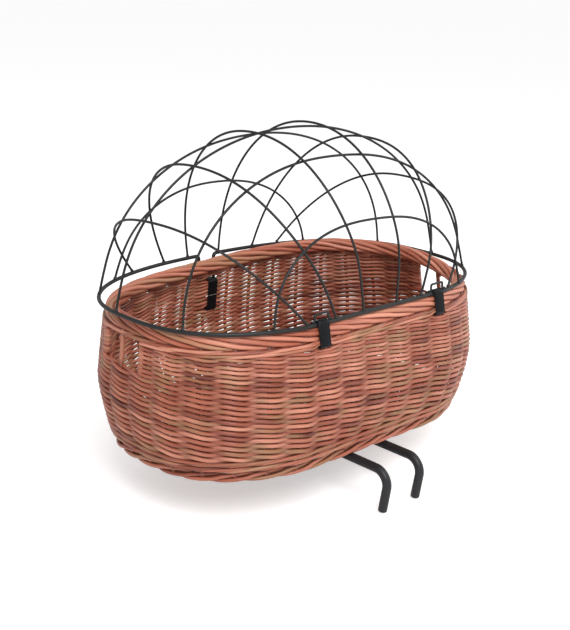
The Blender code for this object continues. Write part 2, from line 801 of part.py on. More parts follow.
def make_bolt_holes(frame):
    """One cutter with a round shaft at each bolt's place."""
    radius = BOLT_RADIUS + GAP
    low = -SADDLE_THICKNESS - CUT_OVERRUN
    high = BASE_THICKNESS + STRIP_THICKNESS + CUT_OVERRUN
    shafts = [prism(circle(radius, spot, low), circle(radius, spot, high)) for spot in BOLT_PLACES]
    return add_cutter("bolt_holes", *gather(shafts), frame)


def make_bolts(frame):
    """A bolt from below and a nut inside at each fixing."""
    under = -2 * GAP - SADDLE_THICKNESS
    seat = BASE_THICKNESS + STRIP_THICKNESS + 2 * GAP
    rounding = BOLT_HEAD_HEIGHT / 3
    for index, spot in enumerate(BOLT_PLACES, 1):
        levels = (
            (BOLT_HEAD_RADIUS - rounding, under - BOLT_HEAD_HEIGHT),
            (BOLT_HEAD_RADIUS, under - BOLT_HEAD_HEIGHT + rounding),
            (BOLT_HEAD_RADIUS, under),
            (BOLT_RADIUS, under),
            (BOLT_RADIUS, seat + NUT_HEIGHT + BOLT_END),
        )
        rings = [circle(radius, spot, height) for radius, height in levels]
        points, faces = loft(rings)
        sides = TURNED_SIDES * (len(rings) - 1)
        faces = faces[:sides]
        faces += [tuple(range(TURNED_SIDES - 1, -1, -1)), tuple(range(sides, sides + TURNED_SIDES))]
        add_mesh(f"bolt_{index}", points, faces, frame, ZINC_STEEL)
        bore = BOLT_RADIUS + GAP
        corner = NUT_HALF_ACROSS_FLATS / math.cos(math.pi / 6)
        hexagon = []
        for k in range(TURNED_SIDES):
            reach = NUT_HALF_ACROSS_FLATS if k % 2 else corner
            turn = 2 * math.pi * k / TURNED_SIDES
            hexagon.append(Vector((reach * math.cos(turn), reach * math.sin(turn), 0)))
        centre = Vector((spot[0], spot[1], 0))
        outer = [[point + centre + Vector((0, 0, h)) for point in hexagon]
                 for h in (seat, seat + NUT_HEIGHT)]
        inner = [circle(bore, spot, h) for h in (seat + NUT_HEIGHT, seat)]
        add_mesh(f"nut_{index}", *loft(outer + inner), frame, ZINC_STEEL)


def within_dome(x, y, height):
    """Whether a point over the ring's plan lies under the dome, whose plan is rounder higher up."""
    power, depth = plan_half(y, RING_HALF_DEPTH)
    rounder = DOME_BACK_POWER if y > 0 else DOME_FRONT_POWER
    power = rounder + (power - rounder) * (1 - height / DOME_HEIGHT) ** DOME_BLEND_POWER
    reach = (abs(x / RING_HALF_LENGTH) ** power + abs(y / depth) ** power) ** (1 / power)
    return reach ** DOME_POWER + (height / DOME_HEIGHT) ** DOME_POWER < 1


def leaning_point(plan, lean):
    """The dome point reached from a plan point by leaning over as the wire climbs."""
    low = 0.0
    high = DOME_HEIGHT
    for _ in range(HEIGHT_SEARCH_ROUNDS):
        height = (low + high) / 2
        if within_dome(*(plan + lean * height).xy, height):
            low = height
        else:
            high = height
    point = plan + lean * low
    point.z = low
    return point


def lifted(point, layer):
    """A dome point moved out or in by a layer, which starts gently at the ring."""
    normal = Vector((
        point.x / RING_HALF_LENGTH ** 2, point.y / RING_HALF_DEPTH ** 2, point.z / DOME_HEIGHT ** 2
    )).normalized()
    return point + normal * (layer * min(1.0, point.z / LAYER_RAMP_HEIGHT))


def seated(points):
    """The wire cut off where its ends come down on the ring."""
    line = points
    for _ in range(2):
        while True:
            run = line[1] - line[0]
            slant = math.sqrt(max(0.0, 1 - (run.z / run.length) ** 2))
            seat = RING_WIRE_RADIUS + GAP + ARC_WIRE_RADIUS * slant
            if line[1].z > seat:
                break
            line = line[1:]
        share = (seat - line[0].z) / (line[1].z - line[0].z)
        line = [line[0].lerp(line[1], share)] + line[1:]
        line = line[::-1]
    return resample(line, ARC_STEPS)


def arc_points(start, end, lean, layer):
    """A dome wire from one place on the ring to another, straight up from a flat front."""
    points = [start]
    for k in range(ARC_SAMPLES + 1):
        share = (1 - math.cos(math.pi * k / ARC_SAMPLES)) / 2
        plan = start.lerp(end, share)
        points.append(lifted(leaning_point(plan, lean), layer))
    points = resample([point for point in points if point.z > 0 or point is start], ARC_SAMPLES)
    for _ in range(ARC_SMOOTH_ROUNDS):
        inner = [
            (before + 2 * point + after) / 4
            for before, point, after in zip(points, points[1:], points[2:])
        ]
        points = [points[0], *inner, points[-1]]
    return seated(points)


def make_cage(frame):
    """The ring, its dome of crossing wires and the two strap eyes, all on the hinge's pivot."""
    pivot = add_pivot("cage_pivot", (0, HINGE_Y, RING_HEIGHT), frame)
    shift = Vector((0, RING_SHIFT_BACK - HINGE_Y, 0))

    def hang(name, points, radius, closed=False, fineness=1):
        placed = [point + shift for point in points]
        add_wire(name, placed, radius, pivot, COATED_WIRE, closed, fineness)

    hang("cage_ring", ring_points(), RING_WIRE_RADIUS, closed=True, fineness=2)
    size = (RING_HALF_LENGTH, RING_HALF_DEPTH)
    for index, (front, back, lean) in enumerate(CROSS_ARC_SHARES, 1):
        start = Vector((front * size[0], edge_y(front * size[0], *size, -1), 0))
        end = Vector((back * size[0], edge_y(back * size[0], *size, 1), 0))
        hang(f"cross_wire_{index}", arc_points(start, end, Vector((lean, 0, 0)), 0), ARC_WIRE_RADIUS)
    for index, (left, right, lean, layer) in enumerate(LONG_ARC_SHARES, 1):
        start = Vector((-edge_x(left * size[1], *size), left * size[1], 0))
        end = Vector((edge_x(right * size[1], *size), right * size[1], 0))
        points = arc_points(start, end, Vector((0, lean, 0)), layer * LAYER)
        hang(f"long_wire_{index}", points, ARC_WIRE_RADIUS)
    hang("strap_eye_left", eye_points(STRAP_LEFT_PLACE), EYE_WIRE_RADIUS)
    hang("strap_eye_right", eye_points(STRAP_RIGHT_PLACE), EYE_WIRE_RADIUS)


def ring_points():
    """The base ring, with the U-shaped dip at the middle of its back."""
    corner = DIP_HALF_WIDTH + 2 * DIP_CORNER_RADIUS
    loop = oval(RING_HALF_LENGTH, RING_HALF_DEPTH, 0, OUTLINE_STEPS)
    away = [point for point in loop if point.y < 0 or abs(point.x) > corner]
    first = min(range(len(away)), key=lambda k: away[k].x if away[k].y > 0 and away[k].x > 0 else 1)
    round_front = away[first + 1:] + away[:first + 1]
    back = edge_y(corner, RING_HALF_LENGTH, RING_HALF_DEPTH, 1)
    dip = filleted([
        Vector((corner, back, 0)),
        Vector((DIP_HALF_WIDTH, RING_HALF_DEPTH, 0)),
        Vector((DIP_HALF_WIDTH, RING_HALF_DEPTH, -DIP_DEPTH)),
        Vector((-DIP_HALF_WIDTH, RING_HALF_DEPTH, -DIP_DEPTH)),
        Vector((-DIP_HALF_WIDTH, RING_HALF_DEPTH, 0)),
        Vector((-corner, back, 0)),
    ], DIP_CORNER_RADIUS)
    return resample(round_front, RING_STEPS)[1:-1] + dip


def eye_points(middle):
    """A wire eye over a strap, with its feet along the ring."""
    low = RING_WIRE_RADIUS + GAP + EYE_WIRE_RADIUS
    corners = []
    for across, height in (
        (-EYE_HALF_WIDTH - EYE_FOOT, low),
        (-EYE_HALF_WIDTH, low),
        (-EYE_HALF_WIDTH, low + EYE_RISE),
        (EYE_HALF_WIDTH, low + EYE_RISE),
        (EYE_HALF_WIDTH, low),
        (EYE_HALF_WIDTH + EYE_FOOT, low),
    ):
        x = middle + across
        corners.append(Vector((x, edge_y(x, RING_HALF_LENGTH, RING_HALF_DEPTH, -1), height)))
    return filleted(corners, EYE_CORNER_RADIUS)


def main():
    """Build the whole basket."""
    clear_scene()
    frame = add_pivot("tub_frame", (0, frame_shift(), rod_drop()))
    bolt_holes = make_bolt_holes(frame)
    make_wall(frame)
    make_borders(frame)
    make_base(frame, bolt_holes)
    make_grip_stakes(frame)
    make_cage(frame)
    make_hinge_straps(frame)
    make_closure_strap(frame)
    make_closure_flap(frame)
    make_buckle(frame)
    make_hook_rods(frame)
    make_saddles(frame, bolt_holes)
    make_bolts(frame)


main()
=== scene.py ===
"""Dog bicycle basket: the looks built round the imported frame.

Laid out as an add-on: one operator weaves, bends or sews each group of pieces, and a panel lists them.
Metres, +Z up, the handlebar side faces -Y.
"""

import math

import bpy
import numpy as np
from bpy.props import FloatProperty, FloatVectorProperty, IntProperty, PointerProperty
from bpy.types import Operator, Panel, PropertyGroup
from mathutils import Matrix, Vector, geometry


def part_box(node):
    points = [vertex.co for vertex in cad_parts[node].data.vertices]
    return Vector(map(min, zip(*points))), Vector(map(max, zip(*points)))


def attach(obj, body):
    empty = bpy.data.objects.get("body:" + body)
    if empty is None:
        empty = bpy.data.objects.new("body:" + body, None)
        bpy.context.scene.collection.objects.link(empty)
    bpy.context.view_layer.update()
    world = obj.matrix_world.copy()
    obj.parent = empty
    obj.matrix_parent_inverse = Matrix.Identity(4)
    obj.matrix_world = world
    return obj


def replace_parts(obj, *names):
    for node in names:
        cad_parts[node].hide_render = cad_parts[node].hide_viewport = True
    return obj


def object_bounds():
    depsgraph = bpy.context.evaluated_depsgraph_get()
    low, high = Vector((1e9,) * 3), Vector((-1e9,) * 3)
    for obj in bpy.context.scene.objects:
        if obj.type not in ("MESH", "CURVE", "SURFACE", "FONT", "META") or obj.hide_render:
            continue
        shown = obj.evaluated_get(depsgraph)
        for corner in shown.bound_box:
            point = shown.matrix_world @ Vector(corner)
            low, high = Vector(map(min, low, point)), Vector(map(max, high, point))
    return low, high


bl_info = {
    "name": "Dog bicycle basket",
    "version": (1, 0, 0),
    "blender": (4, 5, 0),
    "location": "3D View > Sidebar > Basket",
    "description": "Weaves the willow tub and dresses the cage, straps, hooks and fittings",
    "category": "Add Mesh",
}

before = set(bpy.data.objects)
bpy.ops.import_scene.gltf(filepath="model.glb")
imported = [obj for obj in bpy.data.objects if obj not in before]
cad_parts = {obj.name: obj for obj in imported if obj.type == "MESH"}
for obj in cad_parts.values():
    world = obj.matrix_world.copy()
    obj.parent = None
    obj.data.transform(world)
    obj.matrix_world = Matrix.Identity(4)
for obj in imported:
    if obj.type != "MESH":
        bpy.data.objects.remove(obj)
CAD_BOX = [list(corner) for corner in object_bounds()]

# Plan of the tub, as the frame has it
HALF_LENGTH = 0.250
HALF_DEPTH = 0.163
FRONT_POWER = 2.75
BACK_POWER = 2.38
FRONT_DEPTH_SHARE = 1.036
FLAT_SHARE = 0.95 * FRONT_DEPTH_SHARE
RING_HEIGHT = 0.178
RING_SHIFT_BACK = 0.0065
RING_RADIUS = 0.0025
GAP = 0.0003
FIT = 0.0006

# Profile of the wall and the two borders
BORDER_TOP = RING_HEIGHT - RING_RADIUS - GAP
BORDER_HEIGHT = 0.019
BORDER_HALF_WIDTH = 0.0095
BORDER_MIDDLE_OUT = -0.0115
BORDER_MIDDLE = BORDER_TOP - BORDER_HEIGHT / 2
WALL_BOTTOM = 0.0143
WALL_TOP = BORDER_TOP - BORDER_HEIGHT - GAP
WALL_HALF = 0.0044
BELLY_HEIGHT = 0.085
BELLY_SWELL = 0.007
FOOT_DRAW = 0.0183
RIM_DRAW = 0.009
FOOT_HALF = 0.007
FOOT_MIDDLE_OUT = -0.016
BASE_OUT = -0.0233
BASE_MIDDLE = 0.005

# How the hand-woven rim differs from the even one at its back right
RIM_RISE = 0.011
RIM_DRAWN_IN = 0.009

# Grip holes, with their one bare stake each
GRIP_BOTTOM = RING_HEIGHT - 0.058
GRIP_LEFT_Y = 0.014
GRIP_RIGHT_Y = -0.046
STAKES_BACK = 18

# Straps and closure
STRAP_PLACES = (-0.096, 0.102)
STRAP_WIDTH = 0.016
STRAP_THICKNESS = 0.002
CLOSURE_WIDTH = 0.0155
HINGE_SLOT = RING_HEIGHT - 0.0255
CLOSURE_TOP = RING_HEIGHT - 0.033
CLOSURE_BOTTOM = RING_HEIGHT - 0.0755
BUCKLE_TOP = RING_HEIGHT - 0.0525
BUCKLE_HEEL = RING_HEIGHT - 0.0665
BUCKLE_RADIUS = 0.0013
PRONG_RADIUS = 0.0009
DIP_HALF_WIDTH = 0.013
DIP_DEPTH = 0.045
DIP_CORNER = 0.005
FLAP_Y = HALF_DEPTH + RING_SHIFT_BACK + RING_RADIUS + GAP + STRAP_THICKNESS / 2
BUCKLE_Y = FLAP_Y + STRAP_THICKNESS / 2 + GAP + BUCKLE_RADIUS
FOLD_RADIUS = BUCKLE_RADIUS + GAP + STRAP_THICKNESS / 2
TAIL_Y = BUCKLE_Y + FOLD_RADIUS + STRAP_THICKNESS + GAP

# Hook rods and their fixings
ROD_RADIUS = 0.0055
ROD_SPACING = 0.058
ROD_BACK_END = 0.020
ROD_BEND_START = 0.185
ROD_BEND_RADIUS = 0.018
ROD_LEG = 0.030
ROD_LEAN = math.radians(9.5)
ROD_Z = -GAP - ROD_RADIUS
SADDLE_THICKNESS = 0.002
SADDLE_WIDTH = 0.020
SADDLE_HALF_LENGTH = 0.056
SADDLE_PLACES = (-0.115, -0.005)
BOLT_X = 0.046
BOLT_RADIUS = 0.0025
BOLT_HEAD_RADIUS = 0.0045
BOLT_HEAD_HEIGHT = 0.0028
BASE_THICKNESS = 0.010
STRIP_THICKNESS = 0.0015
NUT_HEIGHT = 0.004
NUT_HALF_FLATS = 0.004

# Where the tub's own frame stands in the world
TUB_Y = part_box("hook_rod_left")[0].y + ROD_BEND_START + ROD_BEND_RADIUS + ROD_RADIUS
TUB_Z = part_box("foot_border")[0].z
TUB = np.array((0.0, TUB_Y, TUB_Z))

# The photograph's camera, seen from the middle of the cage ring
CAMERA_AIM = (0.0, TUB_Y + RING_SHIFT_BACK, TUB_Z + RING_HEIGHT)
CAMERA_SENSOR = 36.0
IMAGE_LONG_SIDE = 630.0

LOOP_STEPS = 1440
STEPS_PER_STAKE = 12
OUT_MARKS = np.linspace(-0.018, 0.004, 9)


class BasketWillow(PropertyGroup):
    """Sizes and colours of the woven willow."""

    stakes: IntProperty(name="Stakes", description="Upright stakes round the tub", default=35, min=20, max=60)
    rows: IntProperty(name="Rows", description="Rows of weave up the wall", default=24, min=8, max=60)
    closing: FloatProperty(
        name="Closing", description="How much closer the rows lie towards the rim", default=0.29)
    rod_radius: FloatProperty(
        name="Rod radius", description="Radius of the weaving rods at the foot", default=0.00252, unit="LENGTH")
    tip_share: FloatProperty(
        name="Tip", description="How thick a rod still is at the rim, as a share", default=0.71)
    wale_radius: FloatProperty(
        name="Wale radius", description="Radius of the heavier rods at rim and foot", default=0.00185,
        unit="LENGTH")
    stake_radius: FloatProperty(
        name="Stake radius", description="Half width of the upright stakes", default=0.0027, unit="LENGTH")
    border_radius: FloatProperty(
        name="Border rod radius", description="Radius of the rim border's rods", default=0.0030,
        unit="LENGTH")
    foot_radius: FloatProperty(
        name="Foot rod radius", description="Radius of the foot border's rods", default=0.0025,
        unit="LENGTH")
    swing: FloatProperty(
        name="Swing", description="How far a rod swings out and in round a stake", default=0.0028,
        unit="LENGTH")
    unevenness: FloatProperty(
        name="Unevenness", description="How far hand-woven rows wander", default=0.0009, unit="LENGTH")
    light: FloatVectorProperty(
        name="Light rods", description="Colour of the palest rods", subtype="COLOR", default=(0.70, 0.29, 0.19))
    middle: FloatVectorProperty(
        name="Middle rods", description="Colour of most rods", subtype="COLOR", default=(0.385, 0.098, 0.050))
    dark: FloatVectorProperty(
        name="Dark rods", description="Colour of the darkest rods", subtype="COLOR", default=(0.14, 0.026, 0.015))
    olive: FloatVectorProperty(
        name="Olive rods", description="Colour of the rods that took less stain", subtype="COLOR",
        default=(0.35, 0.185, 0.085))
    pith: FloatVectorProperty(
        name="Cut ends", description="Colour of the cut ends of the rods", subtype="COLOR",
        default=(0.62, 0.38, 0.22))


class BasketMetal(PropertyGroup):
    """Finishes of the wire, the rods and the small fittings."""

    coating: FloatVectorProperty(
        name="Coating", description="Colour of the coated wire and rods", subtype="COLOR",
        default=(0.0032, 0.0042, 0.004))
    zinc: FloatVectorProperty(
        name="Zinc", description="Colour of the plated steel", subtype="COLOR", default=(0.56, 0.56, 0.54))
    weld_flare: FloatProperty(
        name="Weld flare", description="Extra radius of a wire where it is welded to the ring",
        default=0.0009, unit="LENGTH")


class BasketStraps(PropertyGroup):
    """Sizes and colours of the straps."""

    leather: FloatVectorProperty(
        name="Leather", description="Colour of the straps", subtype="COLOR", default=(0.0055, 0.006, 0.0075))
    thread: FloatVectorProperty(
        name="Thread", description="Colour of the stitching", subtype="COLOR", default=(0.30, 0.28, 0.25))
    groove: FloatProperty(
        name="Edge groove", description="Depth of the groove pressed along each edge", default=0.00022,
        unit="LENGTH")


class BasketStage(PropertyGroup):
    """Camera, light and floor."""

    azimuth: FloatProperty(
        name="Camera azimuth", description="Angle of the camera from the front", default=math.radians(43.1),
        subtype="ANGLE")
    elevation: FloatProperty(
        name="Camera elevation", description="Angle of the camera above the horizon",
        default=math.radians(15.43), subtype="ANGLE")
    roll: FloatProperty(
        name="Camera roll", description="Turn of the camera about its own axis", default=0.0204,
        subtype="ANGLE")
    distance: FloatProperty(
        name="Camera distance", description="From the camera to the ring's middle", default=1.4211,
        unit="LENGTH")
    focal: FloatProperty(
        name="Focal length", description="In pixels of the photograph's frame", default=1119.04)
    shift: FloatVectorProperty(
        name="Lens shift", description="Share of the long side", size=2, default=(-0.00276, -0.0569))
    floor: FloatVectorProperty(
        name="Floor", description="Colour of the floor", subtype="COLOR", default=(0.93, 0.93, 0.93))
    sky: FloatProperty(name="Sky light", description="Strength of the all-round light", default=0.54)
    glow: FloatProperty(name="Floor brightness", description="How far the camera sees the floor paler",
                        default=0.46)
    backdrop: FloatProperty(name="Backdrop", description="Brightness of the sky behind the part", default=1.0)
    key: FloatProperty(name="Key light", description="Power of the large soft lamp", default=59.0, unit="POWER")
    fill: FloatProperty(name="Fill light", description="Power of the lamp opposite", default=14.0, unit="POWER")


def unit(vectors):
    """The same vectors at length one."""
    return vectors / np.maximum(np.linalg.norm(vectors, axis=-1, keepdims=True), 1e-12)


def smoothstep(share):
    """A soft step from nought to one."""
    share = np.clip(share, 0.0, 1.0)
    return share * share * (3 - 2 * share)


def in_tub(points):
    """Points of the tub's own frame, placed in the world."""
    return np.asarray(points, float) + TUB


def in_weave(points):
    """Points of the willow, shaped by hand: the rim stands higher, and its end further in, at the back right."""
    points = np.array(points, float)
    share = smoothstep((points[..., 0] + 0.09) / 0.30) * smoothstep((points[..., 1] + 0.10) / 0.10)
    end = smoothstep((points[..., 0] - 0.14) / 0.09) * smoothstep((points[..., 1] + 0.14) / 0.12)
    high = smoothstep((points[..., 2] - 0.075) / 0.09)
    points[..., 2] += RIM_RISE * share * high
    points[..., 0] -= RIM_DRAWN_IN * end * high
    return points + TUB


# Meshes gathered from many rods

class Bundle:
    """Rods gathered into one mesh, with the values that their material reads at each point."""

    def __init__(self):
        self.points = []
        self.quads = []
        self.caps = []
        # One value holds the share of painted shade on willow, and of painted highlight at a strap's bends
        self.values = {"tone": [], "along": [], "around": [], "recess": [], "cut": []}
        self.count = 0

    def add(self, points, quads, caps, **values):
        """Take in one more rod."""
        self.points.append(points)
        self.quads.append(np.asarray(quads) + self.count)
        self.caps += [[index + self.count for index in cap] for cap in caps]
        for name, store in self.values.items():
            value = values.get(name, 0.0)
            store.append(np.broadcast_to(np.asarray(value, float), (len(points),)).astype(np.float32))
        self.count += len(points)

    def build(self, name, material, body="tub", slot="willow", sharp=45.0):
        """The mesh object, in the world, riding on its body."""
        mesh = bpy.data.meshes.new(name)
        points = np.concatenate(self.points)
        faces = np.concatenate(self.quads).tolist() + self.caps
        mesh.from_pydata(points.tolist(), [], faces)
        for key, store in self.values.items():
            layer = mesh.attributes.new(key, "FLOAT", "POINT")
            layer.data.foreach_set("value", np.concatenate(store))
        mesh.update()
        mesh.shade_smooth()
        mesh.set_sharp_from_angle(angle=math.radians(sharp))
        mesh.materials.append(material)
        item = bpy.data.objects.new(name, mesh)
        bpy.context.scene.collection.objects.link(item)
        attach(item, body)
        return item


def directions(path, closed):
    """The way a path runs at each of its points."""
    if closed:
        return unit(np.roll(path, -1, 0) - np.roll(path, 1, 0))
    ahead = np.vstack([path[1:], 2 * path[-1] - path[-2]])
    behind = np.vstack([2 * path[0] - path[1], path[:-1]])
    return unit(ahead - behind)


def carried_sides(along, closed):
    """Side vectors carried along a path without twist."""
    start = np.array((0.0, 0.0, 1.0)) if abs(along[0][2]) < 0.8 else np.array((1.0, 0.0, 0.0))
    side = unit(np.cross(along[0], start))
    sides = [side]
    for before, after in zip(along, along[1:]):
        axis = np.cross(before, after)
        size = np.linalg.norm(axis)
        if size > 1e-9:
            turn = math.atan2(size, float(np.dot(before, after)))
            axis /= size
            side = (side * math.cos(turn) + np.cross(axis, side) * math.sin(turn)
                    + axis * np.dot(axis, side) * (1 - math.cos(turn)))
        sides.append(side)
    sides = unit(np.array(sides))
    if closed:
        last, first, way = sides[-1], sides[0], along[0]
        flat = unit(last - way * np.dot(last, way))
        drift = math.atan2(float(np.dot(np.cross(first, flat), way)), float(np.dot(first, flat)))
        turn = -drift * np.arange(len(sides)) / len(sides)
        sides = (sides * np.cos(turn)[:, None] + np.cross(along, sides) * np.sin(turn)[:, None])
    return sides


def tube(bundle, path, radius, sides=8, closed=False, reference=None, flatten=1.0, **values):
    """A round rod along a path. Its radius and flatness may change along it."""
    path = np.asarray(path, float)
    count = len(path)
    along = directions(path, closed)
    if reference is None:
        side = carried_sides(along, closed)
    else:
        side = unit(np.cross(along, np.broadcast_to(reference, along.shape)))
    up = np.cross(side, along)
    radius = np.broadcast_to(np.asarray(radius, float), (count,))
    flatten = np.broadcast_to(np.asarray(flatten, float), (count,))
    turn = 2 * np.pi * np.arange(sides) / sides
    points = (path[:, None]
              + side[:, None] * (np.cos(turn)[None] * radius[:, None])[..., None]
              + up[:, None] * (np.sin(turn)[None] * (radius * flatten)[:, None])[..., None])
    travelled = np.concatenate([[0], np.cumsum(np.linalg.norm(np.diff(path, axis=0), axis=1))])
    rows = np.arange(count if closed else count - 1)
    columns = np.arange(sides)
    a = rows[:, None] * sides + columns[None]
    b = rows[:, None] * sides + (columns[None] + 1) % sides
    after = (rows[:, None] + 1) % count
    c = after * sides + (columns[None] + 1) % sides
    d = after * sides + columns[None]
    quads = np.stack([a, d, c, b], -1).reshape(-1, 4)
    caps = []
    if not closed:
        last = (count - 1) * sides
        caps = [list(range(sides)), list(range(last + sides - 1, last - 1, -1))]
    spread = {}
    for name, value in values.items():
        value = np.asarray(value, float)
        spread[name] = np.repeat(value, sides) if value.ndim else value
    spread["along"] = np.repeat(travelled, sides) + float(np.mean(spread.get("tone", 0.0))) * 7.3
    spread["around"] = np.tile(columns / sides, count)
    bundle.add(points.reshape(-1, 3), quads, caps, **spread)


def sweep(bundle, path, profile, across, closed=False, width_share=1.0, **values):
    """A strap or bar: a flat profile of (across, thick) pairs swept along a path in one plane."""
    path = np.asarray(path, float)
    profile = np.asarray(profile, float)
    across = np.asarray(across, float)
    count, sides = len(path), len(profile)
    along = directions(path, closed)
    normal = unit(np.cross(along, np.broadcast_to(across, along.shape)))
    share = np.broadcast_to(np.asarray(width_share, float), (count,))
    points = (path[:, None]
              + across[None, None] * (profile[None, :, 0] * share[:, None])[..., None]
              + normal[:, None] * profile[None, :, 1][..., None])
    travelled = np.concatenate([[0], np.cumsum(np.linalg.norm(np.diff(path, axis=0), axis=1))])
    rows = np.arange(count if closed else count - 1)
    columns = np.arange(sides)
    a = rows[:, None] * sides + columns[None]
    b = rows[:, None] * sides + (columns[None] + 1) % sides
    after = (rows[:, None] + 1) % count
    c = after * sides + (columns[None] + 1) % sides
    d = after * sides + columns[None]
    quads = np.stack([a, b, c, d], -1).reshape(-1, 4)
    caps = []
    if not closed:
        last = (count - 1) * sides
        caps = [list(range(sides - 1, -1, -1)), list(range(last, last + sides))]
    spread = dict(values)
    spread["along"] = np.repeat(travelled, sides)
    spread["around"] = np.tile(profile[:, 0], count)
    bundle.add(points.reshape(-1, 3), quads, caps, **spread)


def lathe(bundle, centre, levels, steps=32, **values):
    """A turned piece: levels of (radius, height, six-sidedness) round an upright line."""
    turn = 2 * np.pi * np.arange(steps) / steps
    wedge = np.mod(turn + np.pi / 6, np.pi / 3) - np.pi / 6
    points = []
    for radius, height, hexed in levels:
        reach = radius * ((1 - hexed) + hexed / np.cos(wedge))
        points.append(np.stack([
            centre[0] + reach * np.cos(turn), centre[1] + reach * np.sin(turn), np.full(steps, centre[2] + height)
        ], -1))
    points = np.concatenate(points)
    rows = np.arange(len(levels) - 1)
    columns = np.arange(steps)
    a = rows[:, None] * steps + columns[None]
    b = rows[:, None] * steps + (columns[None] + 1) % steps
    quads = np.stack([a, b, b + steps, a + steps], -1).reshape(-1, 4)
    last = (len(levels) - 1) * steps
    caps = [list(range(steps - 1, -1, -1)), list(range(last, last + steps))]
    bundle.add(points, quads, caps, **values)


def fine_line(points, closed=False, step=0.004):
    """A smooth line through points, at even short steps."""
    points = np.asarray(points, float)
    if closed:
        knots = np.vstack([points[-1], points, points[0], points[1]])
    else:
        knots = np.vstack([2 * points[0] - points[1], points, 2 * points[-1] - points[-2]])
    out = []
    for p0, p1, p2, p3 in zip(knots, knots[1:], knots[2:], knots[3:]):
        gaps = [math.sqrt(max(np.linalg.norm(b - a), 1e-9)) for a, b in ((p0, p1), (p1, p2), (p2, p3))]
        t1 = gaps[0]
        t2 = t1 + gaps[1]
        t3 = t2 + gaps[2]
        parts = max(1, int(math.ceil(np.linalg.norm(p2 - p1) / step)))
        for k in range(parts):
            t = t1 + (t2 - t1) * k / parts
            a1 = p0 + (p1 - p0) * (t / t1)
            a2 = p1 + (p2 - p1) * ((t - t1) / (t2 - t1))
            a3 = p2 + (p3 - p2) * ((t - t2) / (t3 - t2))
            b1 = a1 + (a2 - a1) * (t / t2)
            b2 = a2 + (a3 - a2) * ((t - t1) / (t3 - t1))
            out.append(b1 + (b2 - b1) * ((t - t1) / (t2 - t1)))
    if not closed:
        out.append(points[-1])
    return np.array(out)


def filleted(corners, radius, closed=False, steps=8):
    """Straight runs between corners, with an arc at each corner."""
    corners = [Vector(corner) for corner in corners]
    path = []
    count = len(corners)
    for index, corner in enumerate(corners):
        if not closed and index in (0, count - 1):
            path.append(corner.copy())
            continue
        before = (corners[index - 1] - corner).normalized()
        after = (corners[(index + 1) % count] - corner).normalized()
        half = before.angle(after) / 2
        reach = radius / math.tan(half)
        centre = corner + (before + after).normalized() * (radius / math.sin(half))
        start = corner + before * reach - centre
        end = corner + after * reach - centre
        turn = start.angle(end)
        for k in range(steps + 1):
            share = k / steps
            mix = start * math.sin((1 - share) * turn) + end * math.sin(share * turn)
            path.append(centre + mix / math.sin(turn))
    return np.array([tuple(point) for point in path])


# The tub's plan and the way round it

def wall_out(height):
    """How far the wall's outer face stands outside the ring's plan at heights over the foot."""
    height = np.asarray(height, float)
    low = np.clip((BELLY_HEIGHT - height) / BELLY_HEIGHT, 0, None) ** 1.6
    high = np.clip((height - BELLY_HEIGHT) / (BORDER_TOP - BELLY_HEIGHT), 0, None) ** 1.1
    return BELLY_SWELL - FOOT_DRAW * low - RIM_DRAW * high


known_loops = {}


def plan_loop(outward):
    """The oval at a distance outside the ring's: its points, their distances and its length."""
    key = round(float(outward), 5)
    if key not in known_loops:
        turn = 2 * np.pi * np.arange(LOOP_STEPS + 1) / LOOP_STEPS
        cosine, sine = np.cos(turn), np.sin(turn)
        back = sine > 0
        power = np.where(back, BACK_POWER, FRONT_POWER)
        depth = (HALF_DEPTH + key) * np.where(back, 1.0, FRONT_DEPTH_SHARE)
        x = (HALF_LENGTH + key) * np.sign(cosine) * np.abs(cosine) ** (2 / power)
        y = depth * np.sign(sine) * np.abs(sine) ** (2 / power)
        points = np.stack([x, np.maximum(y, -FLAT_SHARE * (HALF_DEPTH + key))], -1)
        points[-1] = points[0]
        travelled = np.concatenate([[0], np.cumsum(np.linalg.norm(np.diff(points, axis=0), axis=1))])
        known_loops[key] = (points, travelled, travelled[-1])
    return known_loops[key]


def travel_anchors(outward):
    """Distances round the oval of the two grip holes' stakes."""
    points, travelled, whole = plan_loop(outward)
    near_left = (points[:, 0] < 0) & (np.abs(points[:, 1]) < 0.03)
    left = np.interp(-GRIP_LEFT_Y, -points[near_left, 1], travelled[near_left])
    near_right = (points[:, 0] > 0) & (points[:, 1] < 0) & (points[:, 1] > -0.06) & (travelled > whole / 2)
    right = np.interp(GRIP_RIGHT_Y, points[near_right, 1], travelled[near_right]) - whole
    return right, left, right + whole


def at_distance(travel, outward):
    """Points of the oval at distances round it, the way it runs there and the way out of it."""
    points, travelled, whole = plan_loop(outward)

    def place(distance):
        distance = np.mod(distance, whole)
        return np.stack([np.interp(distance, travelled, points[:, k]) for k in (0, 1)], -1)

    nudge = 0.003
    along = unit(place(travel + nudge) - place(travel - nudge))
    out = np.stack([along[:, 1], -along[:, 0]], -1)
    return place(travel), along, out


def round_tub(stake, outward, stakes=None):
    """As at_distance, with the way round counted in stakes from the right-hand grip."""
    stakes = stakes or bpy.context.scene.basket_willow.stakes
    right, left, again = travel_anchors(outward)
    stake = np.asarray(stake, float)
    turns = np.floor(stake / stakes)
    travel = np.interp(stake - turns * stakes, [0, STAKES_BACK, stakes], [right, left, again])
    return at_distance(travel, outward)


